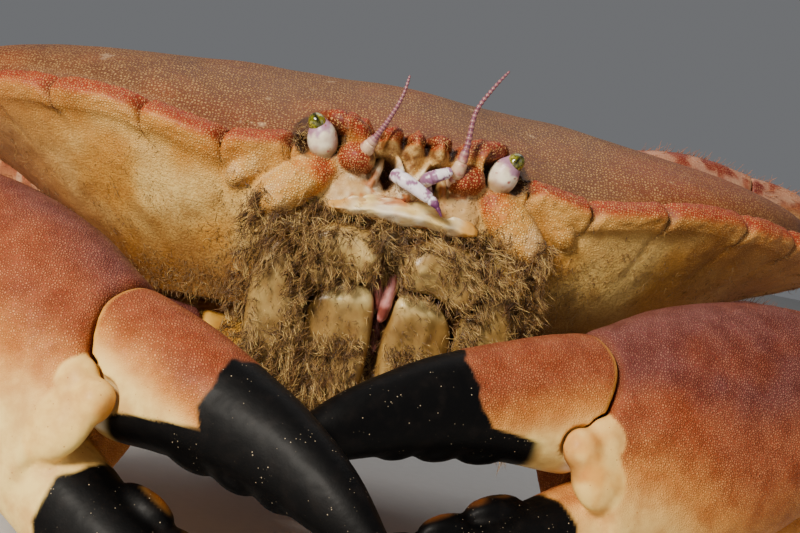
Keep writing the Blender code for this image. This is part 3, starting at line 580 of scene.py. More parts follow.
class Shader:
    """A material and short ways to add nodes to it."""

    def __init__(self, name, roughness=0.45, **inputs):
        self.material = bpy.data.materials.new(name)
        self.material.use_nodes = True
        self.tree = self.material.node_tree
        self.bsdf = self.tree.nodes["Principled BSDF"]
        self.bsdf.inputs["Roughness"].default_value = roughness
        for key, value in inputs.items():
            self.bsdf.inputs[key.replace("_", " ")].default_value = value
        self.place = self.add("ShaderNodeTexCoord").outputs["Object"]

    def add(self, kind, **values):
        node = self.tree.nodes.new(kind)
        for key, value in values.items():
            if key in node.inputs:
                self.put(node.inputs[key], value)
            else:
                setattr(node, key, value)
        return node

    def put(self, socket, value):
        if isinstance(value, bpy.types.NodeSocket):
            self.tree.links.new(value, socket)
        elif isinstance(value, tuple) and socket.type == "RGBA":
            socket.default_value = (*(c**COLOUR_POWER for c in value), 1)
        else:
            socket.default_value = value

    def maths(self, operation, a, b):
        node = self.add("ShaderNodeMath", operation=operation)
        self.put(node.inputs[0], a)
        self.put(node.inputs[1], b)
        return node.outputs[0]

    def blend(self, share, a, b, kind="MIX"):
        node = self.add("ShaderNodeMix", data_type="RGBA", blend_type=kind)
        self.put(node.inputs[0], share)
        self.put(node.inputs[6], a)
        self.put(node.inputs[7], b)
        return node.outputs[2]

    def noise(self, size_mm, detail=3.0):
        node = self.add("ShaderNodeTexNoise", Vector=self.place, Scale=1 / (size_mm * MM), Detail=detail)
        return node.outputs["Fac"]

    def cells(self, size_mm, feature="F1", random=1.0):
        node = self.add("ShaderNodeTexVoronoi", feature=feature, Randomness=random)
        self.put(node.inputs["Scale"], 1 / (size_mm * MM))
        self.put(node.inputs["Vector"], self.place)
        return node.outputs["Distance"]

    def ramp(self, value, low, high, to_low=0.0, to_high=1.0):
        node = self.add("ShaderNodeMapRange", interpolation_type="SMOOTHSTEP")
        sockets = ("Value", "From Min", "From Max", "To Min", "To Max")
        for socket, number in zip(sockets, (value, low, high, to_low, to_high)):
            self.put(node.inputs[socket], number)
        return node.outputs["Result"]

    def speckle(self, size_mm, low, high, spread_mm, *levels):
        """Round dots, kept where a coarser field passes between two levels."""
        dots = self.ramp(self.cells(size_mm), low, high)
        return self.maths("MULTIPLY", dots, self.ramp(self.noise(spread_mm), *levels))

    def darkened(self, share, colour, by):
        """The colour multiplied by another, by this share."""
        return self.blend(share, colour, self.blend(1.0, colour, by, "MULTIPLY"))

    def granules(self, spot, gap_shade, share, pale, patch_mm, patch_share, patch):
        """The paint, darker between granules as painted shade, paler by a share at their tops for their
        pale tips and as painted highlight, and darker in patches.
        """
        paint = self.paint()
        colour = self.darkened(self.value("grain"), paint, gap_shade)
        colour = self.blend(spot, colour, self.blend(share, paint, pale))
        mottle = self.ramp(self.noise(patch_mm, 5.0), 0.35, 0.7)
        return self.darkened(self.maths("MULTIPLY", mottle, patch_share), colour, patch)

    def value(self, name):
        return self.add("ShaderNodeAttribute", attribute_name=name).outputs["Fac"]

    def paint(self):
        return self.add("ShaderNodeAttribute", attribute_name="paint").outputs["Color"]

    def bump(self, height, depth_mm):
        node = self.add("ShaderNodeBump", Strength=1.0, Distance=depth_mm * MM, Height=height)
        if self.bsdf.inputs["Normal"].links:
            self.put(node.inputs["Normal"], self.bsdf.inputs["Normal"].links[0].from_socket)
        self.put(self.bsdf.inputs["Normal"], node.outputs["Normal"])

    def coloured(self, colour):
        """The finished material, with this colour."""
        self.put(self.bsdf.inputs["Base Color"], colour)
        return self.material


def granular(name, cell, roughness, depth, pale):
    """Shell with fine round granules, paler at their tops for their pale tips and as painted highlight,
    darker between them as painted shade. The value grain sets how plain they show.
    """
    shader = Shader(name, roughness, Specular_IOR_Level=0.32)
    tops = shader.ramp(shader.cells(cell, "DISTANCE_TO_EDGE", 0.75), 0.06, 0.34)
    coarse = shader.ramp(shader.cells(cell * 1.25, "DISTANCE_TO_EDGE", 0.75), 0.10, 0.33)
    tops = shader.add("ShaderNodeMix", Factor=shader.value("back"), A=tops, B=coarse).outputs["Result"]
    spot = shader.maths("MULTIPLY", tops, shader.value("grain"))
    colour = shader.granules(spot, (0.84, 0.72, 0.58), 0.46, pale, 3.5, 0.45, (0.86, 0.82, 0.82))
    fuzz = shader.ramp(shader.noise(0.45, 4.0), 0.42, 0.6)
    fuzz = shader.maths("MULTIPLY", fuzz, shader.value("velvet"))
    colour = shader.darkened(shader.maths("MULTIPLY", fuzz, 0.5), colour, (0.80, 0.68, 0.50))
    shader.bump(shader.noise(1.6, 4.0), 0.08)
    shader.bump(fuzz, 0.05)
    shader.bump(spot, depth)
    return shader.coloured(colour)


def plain_skin(name, roughness, size, depth, **inputs):
    """Smooth skin or enamel with faint relief, coloured by the value paint."""
    shader = Shader(name, roughness, **inputs)
    tone = shader.ramp(shader.noise(size * 2.2, 5.0), 0.3, 0.75, 0.0, 0.35)
    shader.bump(shader.noise(size, 4.0), depth)
    return shader.coloured(shader.darkened(tone, shader.paint(), (0.8, 0.72, 0.66)))


def claw_material():
    """Finely granular shell that turns into black enamel with pale specks where black is high."""
    shader = Shader("claw_shell", 0.42, Specular_IOR_Level=0.09, Coat_Weight=0.02, Coat_Roughness=0.25)
    black = shader.value("black")
    tops = shader.ramp(shader.cells(0.38, "DISTANCE_TO_EDGE", 0.8), 0.03, 0.3)
    spot = shader.maths("MULTIPLY", tops, shader.value("grain"))
    pale = (0.93, 0.74, 0.52)
    # Granules as on the shell: painted shade between them, and tops a little paler for their pale tips and
    # as painted highlight.
    colour = shader.granules(spot, (0.82, 0.72, 0.69), 0.10, pale, 4.0, 0.7, (0.84, 0.74, 0.70))
    dots = shader.speckle(1.1, 0.15, 0.07, 1.4, 0.5, 0.6)
    dots = shader.maths("MULTIPLY", dots, shader.maths("SUBTRACT", 1.0, black))
    colour = shader.blend(shader.maths("MULTIPLY", dots, 0.6), colour, (0.60, 0.28, 0.16))
    wear = shader.ramp(shader.noise(2.4, 5.0), 0.45, 0.8)
    dark = shader.blend(wear, BLACK, (0.12, 0.105, 0.10))
    specks = shader.speckle(0.7, 0.16, 0.08, 2.2, 0.52, 0.66)
    dark = shader.blend(shader.maths("MULTIPLY", specks, 0.75), dark, (0.74, 0.68, 0.58))
    colour = shader.blend(black, colour, dark)
    shader.put(shader.bsdf.inputs["Roughness"], shader.ramp(black, 0.0, 1.0, 0.44, 0.56))
    shader.bump(shader.noise(1.8, 4.0), 0.06)
    shader.bump(spot, 0.18)
    shader.bump(shader.noise(0.3), 0.02)
    return shader.coloured(colour)


def bristle_material():
    shader = Shader("bristle", 0.55, Sheen_Weight=0.15, Sheen_Roughness=0.4)
    return shader.coloured(shader.paint())


def cornea_material():
    shader = Shader("cornea", 0.12, Coat_Weight=0.6, Coat_Roughness=0.05)
    shader.bump(shader.cells(0.16, random=0.5), 0.015)
    spots = shader.ramp(shader.noise(0.45, 2.0), 0.42, 0.62)
    return shader.coloured(shader.blend(spots, shader.paint(), (0.33, 0.32, 0.09)))


def make_materials():
    return {
        "shell": granular("shell_skin", 0.46, 0.52, 0.11, (0.97, 0.80, 0.52)),
        "leg": granular("leg_skin", 0.6, 0.5, 0.07, (0.92, 0.74, 0.55)),
        "claw": claw_material(),
        "bone": plain_skin("smooth_plate", 0.40, 0.9, 0.05, Coat_Weight=0.1, Coat_Roughness=0.3),
        "soft": plain_skin("joint_skin", 0.5, 0.5, 0.10, Subsurface_Weight=0.15, Subsurface_Scale=0.001),
        "feeler": plain_skin("feeler_skin", 0.35, 0.5, 0.03),
        "cornea": cornea_material(),
        "bristle": bristle_material(),
    }


MATERIALS = make_materials()


# Shell


def rim_shape(angle):
    """How far the lobes move the rim out and up at these angles, and how far off the next notch is."""
    angle = np.abs(angle)
    fine = np.linspace(0, LOBES_END, 6000)
    line, steps = outline_line(fine)
    length = np.cumsum(steps)
    start = np.interp(LOBE_START, line[:, 0], length)
    scale = (length[-1] - start) / sum(LOBE_WIDTHS)
    notches = start + np.concatenate([[0], np.cumsum(LOBE_WIDTHS)]) * scale
    here = np.interp(angle, fine, length)
    across = np.interp(angle, fine, line[:, 0])
    lobe = np.clip(np.searchsorted(notches, here, side="right") - 1, 0, len(LOBE_WIDTHS) - 1)
    t = np.clip((here - notches[lobe]) / (notches[lobe + 1] - notches[lobe]), 0, 1)
    off = np.abs(here[..., None] - notches).min(-1)
    off = np.where(angle > LOBES_END, (angle - LOBES_END) * 60, off)
    cut = bell(off / 0.85)
    round_part = 1 - np.abs(2 * t - 1) ** 3.5
    out = LOBE_SWELL * 1.15 * round_part - (NOTCH_DEPTH - 0.2) * cut
    up = 0.35 * round_part - 0.8 * cut
    spots = np.array([x for x, _, _ in FRONT_LOBES], float)
    k = np.clip(np.searchsorted(spots, across, side="right") - 1, 0, len(spots) - 2)
    ease = smooth(across, spots[k], spots[k + 1])
    table = np.array(FRONT_LOBES)
    front = table[k] + (table[k + 1] - table[k]) * ease[..., None]
    is_front = across < LOBE_START - 1.2
    out = np.where(is_front, front[..., 1], out)
    up = np.where(is_front, front[..., 2], up)
    is_rear = angle > LOBES_END
    fade = smooth(angle, LOBES_END, LOBES_END + 0.12)
    bead = 0.12 * np.sin(angle * 95) * fade
    out = np.where(is_rear, -NOTCH_DEPTH / 2 * bell(off / 1.5) + bead, out)
    up = np.where(is_rear, bead, up)
    return out, up, np.where(is_front, 9.0, off)


def shares_at(table, angle):
    degrees = np.clip(np.abs(np.degrees(angle)), 0, 180)
    angles = np.array(sorted(table), float)
    values = np.array([table[a] for a in sorted(table)])
    k = np.clip(np.searchsorted(angles, degrees, side="right") - 1, 0, len(angles) - 2)
    t = smooth(degrees, angles[k], angles[k + 1])
    return values[k] + (values[k + 1] - values[k]) * t[:, None]


def back_height(angle, share):
    degrees = np.abs(np.degrees(angle))
    t = np.where(degrees <= 90, np.minimum(degrees, 90) / 90, (degrees - 90) / 90)
    t = t * t * (3 - 2 * t)
    front, side, rear = (np.array(part) for part in BACK_FALL)
    low = np.where(degrees[:, None] <= 90, front, side)
    high = np.where(degrees[:, None] <= 90, side, rear)
    fall = low + (high - low) * t[:, None]
    return BACK_HEIGHT * np.maximum(1 - share ** fall[:, 0], 0) ** fall[:, 1]


def shell_angles():
    """Angles of the columns of the shell's surface, closest together across the face."""
    fine = np.linspace(0, math.pi, 20001)
    line, steps = outline_line(fine)
    spacing = COLUMN_STEP + SIDE_STEP * smooth(line[:, 0], 27, 36) + REAR_STEP * smooth(fine, 1.5, 1.8)
    count = np.cumsum(steps / spacing)
    half = np.interp(np.linspace(0, count[-1], int(count[-1])), count, fine)
    return np.concatenate([half, -half[-2:0:-1]])


def groove_distance(x, y, line):
    """Distance from a bent line, given by its corners on the crab's left side and mirrored."""
    best = np.full(np.shape(x), 1e9)
    for (ax, ay), (bx, by) in zip(line, line[1:]):
        dx, dy = bx - ax, by - ay
        t = np.clip(((np.abs(x) - ax) * dx + (y - ay) * dy) / (dx * dx + dy * dy), 0, 1)
        best = np.minimum(best, np.hypot(np.abs(x) - ax - t * dx, y - ay - t * dy))
    return best


def back_relief(x, y):
    """Faint swellings and grooves of the back that mark its regions."""
    swell = 0
    for cx, cy, rx, ry, height in (
        (0, -20, 20, 15, 0.45), (0, 20, 11, 12, 0.5), (44, 12, 26, 24, 0.6), (46, -26, 15, 11, 0.45),
        (20, -36, 9, 9, 0.3), (0, 44, 14, 7, 0.35), (70, -6, 12, 12, 0.35),
    ):
        swell = swell + height * bell((np.abs(x) - cx) / rx, (y - cy) / ry)
    groove = groove_distance(x, y, ((8, 30), (10, 14), (15, 2), (13, -6), (28, -18), (36, -34)))
    side_groove = groove_distance(x, y, ((28, -18), (50, -8), (66, -14)))
    middle = groove_distance(x, y, ((0, -50), (0, -38)))
    relief = 0.6 * swell - 0.24 * bell(groove / 3.4) - 0.15 * bell(side_groove / 4.0)
    return relief - 0.25 * bell(middle / 2.2)


def mouth_axes():
    up = np.array([0, -math.sin(MOUTH_TILT), math.cos(MOUTH_TILT)])
    out = np.array([0, -math.cos(MOUTH_TILT), -math.sin(MOUTH_TILT)])
    return up, out


def mouth_point(u, v, rise):
    up, out = mouth_axes()
    u, v, rise = np.broadcast_arrays(np.asarray(u, float), v, rise)
    return MOUTH_CENTRE + u[..., None] * (1.0, 0, 0) + v[..., None] * up + rise[..., None] * out


def pressed_into(y, q, centre_y, depth):
    """Depth of a rounded hollow; q is 1 at its edge and 0 in its middle."""
    back = centre_y + depth * np.sqrt(np.clip(1 - q, 0, 1))
    return np.where((q < 1) & (y < -40), np.maximum(y, back), y)


def smooth_front(y, front, radius):
    """The further forward of two surfaces, with a fillet between them, and the share of the second."""
    share = np.clip(0.5 + 0.5 * (y - front) / radius, 0, 1)
    return y + (front - y) * share - radius * share * (1 - share), share


def sculpt_face(points):
    """Orbits, feeler pits, mouth and lobes of the face, pressed into or raised from the front of the body.
    Also gives how far each point belongs to each kind of lobe."""
    x, y, z = np.moveaxis(points, -1, 0)
    across = np.abs(x)
    ahead = smooth(y, -38, -44)
    hollow = 0 * x
    hollows = ((ORBIT_CENTRE, ORBIT_SIZE, (1.22, 0.98)), (PIT_CENTRE, PIT_SIZE, (1.1, 0.6)))
    for centre, size, edge in hollows:
        q = ((across - centre[0]) / size[0]) ** 2 + ((z - centre[2]) / size[2]) ** 2
        y = pressed_into(y, q, centre[1], size[1])
        hollow = np.maximum(hollow, smooth(q, *edge) * ahead)
    kinds = {"hollow": hollow, "red": 0 * x, "tip": 0 * x, "plate": 0 * x, "tip_place": 0 * x}
    wave = 0.3 * rough(points, 2.4, 12) + 0.14 * noise(points, 0.7, 88)
    for cx, cy, cz, half_x, half_y, half_z, lean, kind in FACE_LUMPS:
        c, s = math.cos(math.radians(lean)), math.sin(math.radians(lean))
        a = (across - cx) * c - (z - cz) * s
        b = (across - cx) * s + (z - cz) * c
        q = np.abs(a / half_x) ** 2.3 + np.abs(b / half_z) ** 2.3
        front = np.where(q < 1, cy - half_y * np.clip(1 - q, 0, 1) ** 0.45, cy + 7 * (q - 1)) - wave
        front = np.where(ahead > 0, front, 100.0)
        y, share = smooth_front(y, front, 1.5 if kind == "tip" else 0.7)
        for other in ("red", "tip", "plate"):
            old = kinds[other]
            kinds[other] = np.maximum(old, share) if other == kind else old * (1 - share)
        kinds["hollow"] = kinds["hollow"] * (1 - 0.8 * share)
        if kind == "tip":
            kinds["tip_place"] = kinds["tip_place"] + (a / half_x - kinds["tip_place"]) * share
    moved = np.stack([x, y, z], -1)
    up, out = mouth_axes()
    local = moved - MOUTH_CENTRE
    v, rise = local @ up, local @ out
    edge = (across / MOUTH_HALF_WIDTH) ** 4.4 + np.abs(v / MOUTH_HALF_HEIGHT) ** 4.4
    sink = np.maximum(rise, 0) * smooth(edge, 1.1, 0.9)
    return moved - sink[..., None] * out, kinds


def shell_colour(points, place, off, kinds):
    """Colours of the shell: red-brown above, red at the rim, yellow to cream below it."""
    x, y, z = points.T
    across = np.abs(x)
    broad = rough(points, 30, 3)
    back = mix(RED_BROWN, GREY_BROWN, smooth(broad + 0.25 * smooth(across, 60, 10), -0.35, 0.5))
    back = mix(back, (0.66, 0.42, 0.27), blotch(points, 9, 8, 0.15, 0.6) * 0.35)
    back = mix(back, (0.36, 0.25, 0.20), blotch(points, 14, 15, 0.2, 0.7) * 0.35)
    scar = blotch(points, 3.8, 21, 0.56, 0.68) * smooth(place, 6.6, 5.5)
    back = mix(back, (0.74, 0.68, 0.60), scar * 0.7)
    edge = smooth(place, 6.3, 7.6)
    colour = mix(back, RIM_RED, edge * 0.9)
    under = smooth(place + 0.35 * rough(points, 5, 31), 8.7, 9.5)
    cheek = mix(TAN, CREAM, smooth(rough(points, 13, 40) + 0.2, -0.1, 0.5))
    cheek = mix(cheek, ORANGE, smooth(place, 11.0, 9.2) * 0.22)
    cheek = mix(cheek, (0.60, 0.43, 0.20), blotch(points, 7, 44, 0.05, 0.6) * 0.5)
    front = smooth(across, 95, 40) * smooth(y, -20, -45)
    # Towards the sides and rear the cheeks turn darker and browner: painted shade.
    side_shade = mottled(points, (0.72, 0.50, 0.30), (0.83, 0.64, 0.42), 12, 47, -0.4, 0.4)
    cheek = mix(side_shade, cheek, 0.3 + 0.7 * front)
    # Darker brown along the cheeks' lower edge: the colour of the hair there, with painted shade where the
    # edge meets the dark gap above the limbs.
    cheek = mix(cheek, (0.50, 0.34, 0.15), smooth(place + 0.5 * rough(points, 6, 37), 13.0, 14.5) * 0.75)
    colour = mix(colour, cheek, under)
    # Dark brown down the rim's notches and the fissures below them: the dark hair in the notches, with
    # painted shade in the clefts.
    pit = bell(off / 0.6) * smooth(place, 7.4, 8.8) * smooth(place, 10.9, 10.1)
    colour = mix(colour, (0.30, 0.18, 0.09), pit * 0.75)
    plate = mottled(points, WHITE, (0.80, 0.66, 0.44), 4, 9, -0.35, 0.35)
    plate = mix(plate, (0.66, 0.36, 0.16), blotch(points, 2.2, 33, 0.15, 0.5) * 0.7)
    stain = bell((z + 7.6) / 1.0, x / 4.4) + 0.35 * rough(points, 1.8, 12)
    plate = mix(plate, (0.45, 0.13, 0.08), smooth(stain, 0.35, 0.8) * 0.9)
    middle = smooth(across, 15, 12) * smooth(z, -1.0, -2.6) * smooth(y, -40, -46)
    middle = middle * smooth(place, 9.4, 10.2)
    colour = mix(colour, plate, np.maximum(middle, kinds["plate"]))
    red = mix((0.66, 0.27, 0.11), (0.40, 0.15, 0.09), blotch(points, 3, 27, -0.2, 0.5) * 0.8)
    root = smooth(z + 0.5 * rough(points, 1.8, 71), 1.9, 3.1) + smooth(across, 6.2, 7.4)
    soil = mottled(points, (0.55, 0.38, 0.18), (0.80, 0.66, 0.42), 1.7, 53, -0.2, 0.4)
    colour = mix(colour, mix(soil, red, np.clip(root, 0, 1)), kinds["red"])
    # The front wall under the small front lobes: the golden brown of its hair, darkened with painted shade
    # from the lobes above.
    below = smooth(across, 8.2, 7.2) * smooth(z + 0.3 * rough(points, 1.2, 59), 2.5, 1.8)
    below = below * smooth(z, -3.4, -2.0) * smooth(y, -44, -50)
    below = below * (1 - kinds["plate"]) * smooth(place, 7.5, 8.2)
    recess_hair_and_shade = mottled(points, (0.80, 0.67, 0.44), (0.50, 0.34, 0.18), 1.4, 83, -0.2, 0.5)
    colour = mix(colour, recess_hair_and_shade, below)
    kinds["below"] = below
    # Dark brown between the small front lobes: their dark hair, with painted shade in the narrow gaps.
    gap = bell((across - 2.15) / 0.42) + bell((across - 6.75) / 0.5)
    gap = gap * smooth(place, 6.4, 7.0) * smooth(z, 0.5, 1.6) * smooth(y, -50, -53)
    colour = mix(colour, (0.30, 0.17, 0.09), gap * 0.85)
    at = -kinds["tip_place"] + 0.3 * rough(points, 2.5, 17)
    lobe = mottled(points, (0.99, 0.94, 0.75), (0.92, 0.79, 0.48), 3, 6, -0.6, 0.3)
    lobe = mix(lobe, ORANGE, smooth(at, 0.0, 0.62) * 0.9)
    lobe = mix(lobe, RIM_RED, smooth(at, 0.32, 0.8))
    # Pale cream patches on the lower ends of the suborbital lobes: polished worn spots, painted paler as
    # their sheen.
    wear_and_sheen = blotch(points, 3.4, 91, 0.05, 0.4) * smooth(at, 0.3, -0.4)
    lobe = mix(lobe, (0.96, 0.90, 0.74), wear_and_sheen * 0.8)
    colour = mix(colour, lobe, kinds["tip"])
    # Orbits and feeler pits painted dark brown with paler patches: painted shade in the hollows, over the
    # brown of their hairs.
    dark = mix((0.30, 0.19, 0.10), (0.60, 0.46, 0.28), blotch(points, 1.4, 99, -0.2, 0.5) * 0.55)
    return mix(colour, dark, kinds["hollow"] * 0.95)


def make_shell():
    angle = shell_angles()
    stretches = [np.linspace(*stretch, endpoint=False) for stretch in SHELL_ROWS[:-1]]
    place = np.concatenate([*stretches, np.linspace(*SHELL_ROWS[-1])])
    radius, rim = outline_radius(angle), rim_level(angle)
    out, up, off = rim_shape(angle)
    control = [(0 * radius, RIM_LEVEL + 1 + BACK_HEIGHT + 0 * radius)]
    for share in BACK_SHARES:
        height = RIM_LEVEL + 1 + (rim - RIM_LEVEL) * share**3 + back_height(angle, share)
        control.append(((radius - RIM_WIDTH) * share, height))
    control += [
        (radius - RIM_WIDTH + 0.3 * np.minimum(out, 0), rim + 1 + 0.3 * up),
        (radius - 2.4 + 0.7 * out, rim + RIM_RISE + up),
        (radius + out, rim + 0.7 * up),
        (radius - 1.2 + 0.7 * out, rim - 2.4 + 0.3 * up),
    ]
    shares = shares_at(CHEEK_SHARES, angle)
    for k, level in enumerate(CHEEK_LEVELS):
        sink = max(0.22 - 0.16 * k, 0) * out
        control.append((radius * shares[:, k] + sink, level + rim * (1 - k / (len(CHEEK_LEVELS) - 1))))
    profile = between(np.array([np.stack(pair, -1) for pair in control]), place)
    r, z = profile[..., 0], profile[..., 1]
    points = turned(angle, r, z)
    rows, columns = points.shape[:2]
    flat = points.reshape(-1, 3)
    quads = grid_quads(rows, columns)
    where = np.repeat(place, columns)
    notch = np.tile(off, rows)
    normal = normals_of(flat, quads)
    on_back = smooth(where, 6.6, 5.6)
    lift = back_relief(flat[:, 0], flat[:, 1]) * on_back
    lift += 0.14 * rough(flat, 9, 5, 2) * smooth(where, 0.4, 1.2)
    lift += 0.16 * noise(flat, 1.1, 61) * smooth(where, 6.9, 7.4) * smooth(where, 10.2, 9.6)
    lift += (0.55 * rough(flat, 12, 71) + 0.14 * rough(flat, 2.2, 75)) * smooth(where, 10, 11)
    slit = bell(notch / 0.55) * smooth(where, 6.0, 7.2)
    lift -= 0.8 * slit * smooth(where, 9.0, 7.5)
    lift -= 0.9 * bell(notch / 1.5) * smooth(where, 8.8, 9.9) * smooth(where, 11.2, 10.2)
    flat = flat + normal * lift[:, None]
    flat, kinds = sculpt_face(flat)
    colour = shell_colour(flat, where, notch, kinds)
    grain = 0.75 + 0.25 * smooth(where, 6.0, 7.4)
    grain *= 1 - 0.7 * smooth(where, 10.0, 12.5)
    grain *= 0.75 + 0.25 * rough(flat, 8, 90)
    grain = grain + (1 - grain) * np.maximum(kinds["red"], kinds["tip"])
    grain = grain * (1 - kinds["plate"]) * (1 - kinds["hollow"]) * (1 - kinds["below"])
    velvet = (1 - grain) * (1 - kinds["plate"]) * smooth(where, 6.5, 8.0)
    centre = len(flat)
    flat = np.concatenate([flat, [flat[-columns:].mean(0) + (0, 0, 3)]])
    last = (rows - 1) * columns + np.arange(columns)
    tris = np.stack([last, np.roll(last, -1), np.full(columns, centre)], -1)
    colour = np.concatenate([colour, colour[-1:]])
    grain, velvet = np.append(grain, 0), np.append(velvet, 0)
    back = np.append(smooth(where, 6.6, 5.8), 0)
    build_mesh(
        "shell", shell_to_floor(flat), quads, tris, "shell", colour, "shell", ["carapace"],
        {"grain": grain, "back": back, "velvet": velvet},
    )
    x, y, z = flat[:-1].T
    gaps = smooth(y, -44, -50) * smooth(np.abs(x), 32, 24) * smooth(z, 5.5, 3.5) * smooth(z, -13, -11)
    clean = np.maximum(np.maximum(kinds["red"], kinds["tip"]), kinds["plate"])
    hairy = gaps * (1 - 0.93 * clean) * (0.25 + kinds["hollow"]) * blotch(flat[:-1], 3, 55, -0.6, 0.2)
    return flat[:-1], quads, where, angle, hairy


def make_epistome():
    """Arched pale ridge over the mouth, with a stained groove above it."""
    rings = lump_rings((0, -54.9, -8.9), (13.4, 2.4, 2.1), None, 120, 56, 2.7, -1.4)
    points, quads, tris = roughened(rings, 3.0, 0.9, 51)
    x, z = points[:, 0], points[:, 2]
    low = z + 9.9 + 1.3 * (x / 13.4) ** 2
    points[:, 1] -= 0.8 * bell(low / 0.8) - 0.8 * bell((low - 1.7) / 0.7) * smooth(np.abs(x), 10, 6)
    colour = mottled(points, WHITE, CREAM, 3, 9, -0.4, 0.5)
    stain = rough(points * (0.5, 1, 1), 1.5, 12) + 0.6 * smooth(low, 0.8, 2.4) - 0.05 * np.abs(x + 2)
    colour = mix(colour, (0.64, 0.34, 0.17), smooth(stain, 0.15, 0.7) * 0.7)
    colour = mix(colour, (0.76, 0.54, 0.24), smooth(np.abs(x) + 2 * rough(points, 3, 62), 8, 12) * 0.7)
    shell_piece("epistome_plate", (points, quads, tris), "bone", colour, "underside", "epistome")


def make_eye(side):
    """Egg-shaped stalk with the cornea set in its upper outer end."""
    word = SIDE_WORDS[side]
    base = (np.array(STALK_BASE) + (0, 0, 0.9)) * (side, 1, 1)
    line = unit(np.array(STALK_LINE) * (side, 1, 1))
    across = unit(np.cross(line, (0, -1, 0)))
    ahead = np.cross(across, line)
    height = np.linspace(0, 1, 60)
    radius = along((1.8, 2.35, 2.6, 2.5, 2.0, 0.8), height)
    rings = base + line * (height * STALK_LENGTH)[:, None, None]
    rings = rings + ring(across, ahead, circle(64)) * radius[:, None, None]
    points, quads, tris = roughened(rings, 1.6, 0.10, 7)
    eye_line = unit(line + (0.32 * side, -0.25, 0))
    eye_at = base + line * CORNEA_AT + (0.5 * side, 0, 0)
    from_eye = np.linalg.norm(points - eye_at, axis=1)
    colour = mottled(points, WHITE, (0.82, 0.72, 0.66), 1.7, 3, -0.2, 0.6)
    purple = smooth(from_eye + 0.7 * rough(points, 1.0, 19), 2.9, 2.1)
    colour = mix(colour, (0.62, 0.44, 0.56), purple * 0.8)
    # Tan round the stalk's base: the colour of the tufts at the orbit's floor, with painted shade where the
    # stalk sinks into it.
    low = smooth((points - base) @ line + 0.4 * rough(points, 1.1, 37), 2.6, 1.0)
    colour = mix(colour, (0.64, 0.52, 0.36), low * 0.8)
    colour = mix(colour, (0.60, 0.28, 0.26), blotch(points, 0.8, 23, 0.35, 0.6) * 0.7)
    shell_piece(f"stalk_{word}", (points, quads, tris), "bone", colour, "eyestalk", f"eyestalk_{word}")
    side_line = unit(np.cross(eye_line, (0, -1, 0)))
    turn = np.stack([side_line, np.cross(eye_line, side_line), eye_line], -1)
    rings = lump_rings(eye_at + eye_line * 0.45, (1.6, 1.75, 2.0), turn, 48, 32)
    points, quads, tris = capped(rings)
    local = (points - eye_at) @ turn
    colour = mottled(points, (0.46, 0.46, 0.12), (0.68, 0.64, 0.32), 0.8, 29, -0.2, 0.6)
    slit = bell(local[:, 0] / 0.30) * smooth(local[:, 2], 0.3, 1.2)
    colour = mix(colour, (0.05, 0.05, 0.03), slit)
    shell_piece(f"cornea_{word}", (points, quads, tris), "cornea", colour, "eye", f"eye_{word}")


def tube(route, radii, sides):
    """Rings round a route. radii has one value for each of its points."""
    line = unit(np.gradient(route, axis=0))
    side = unit(np.cross(line, (0.3, 0.2, 1.0)))
    return route[:, None] + ring(side, np.cross(side, line), circle(sides)) * radii[:, None, None]


def jointed(radius, share, cuts, depth, width):
    """Radii of a feeler, thinner at its joints, which lie at these shares of its length."""
    return radius * (1 - depth * bell((share[:, None] - np.array(cuts)) / width).sum(1))


def make_antenna(side):
    word = SIDE_WORDS[side]
    share = np.linspace(0, 1, 240)
    route = along(ANTENNAE[side], share)
    radius = along((1.1, 1.3, 1.25, 0.9, 0.56, 0.46, 0.41, 0.35, 0.3, 0.25, 0.18), share)
    whip = smooth(share, 0.34, 0.4)
    radius = radius * (1 + whip * 0.13 * np.sin(share * 2 * math.pi * WHIP_RINGS))
    radius = jointed(radius, share, (0.14, 0.27, 0.37), 0.22, 0.008) * (1 + 0.05 * noise(route, 0.7, 4))
    points, quads, tris = capped(tube(route, radius, ANTENNA_SIDES))
    at = np.append(np.repeat(share, ANTENNA_SIDES), (0, 1))
    colour = mottled(points, (0.86, 0.74, 0.62), (0.62, 0.36, 0.34), 1.3, 6, -0.1, 0.4)
    band = 0.5 + 0.5 * np.sin(at * 2 * math.pi * WHIP_RINGS)
    whip_colour = mix((0.50, 0.31, 0.38), (0.72, 0.56, 0.50), smooth(band, 0.3, 0.9) * 0.7)
    colour = mix(colour, whip_colour, smooth(at, 0.25, 0.38))
    shell_piece(f"feeler_{word}", (points, quads, tris), "feeler", colour, "feeler", f"antenna_{word}")


def make_antennule(side):
    word = SIDE_WORDS[side]
    share = np.linspace(0, 1, 150)
    route = along(ANTENNULES[side], share)
    if side < 0:
        radius = along((0.7, 0.7, 0.8, 1.25, 1.3, 1.2, 1.1, 0.85, 0.38, 0.12), share)
        cuts = (0.42, 0.74, 0.86)
    else:
        radius = along((0.8, 0.9, 1.0, 1.15, 1.2, 1.15, 1.05, 1.0, 0.8, 0.5), share)
        cuts = (0.52, 0.82)
    points, quads, tris = capped(tube(route, jointed(radius, share, cuts, 0.2, 0.012), ANTENNULE_SIDES))
    colour = mix((0.93, 0.90, 0.92), (0.62, 0.46, 0.58), blotch(points * (1, 1, 1.6), 1.5, 31, 0.08, 0.22))
    at = np.append(np.repeat(share, ANTENNULE_SIDES), (0, 1))
    tip = smooth(at, 0.76, 0.84) if side < 0 else smooth(at, 0.93, 1.0)
    colour = mix(colour, (0.42, 0.22, 0.38), tip)
    node = f"antennule_{word}"
    shell_piece(f"small_feeler_{word}", (points, quads, tris), "feeler", colour, "feeler", node)


# Mouth


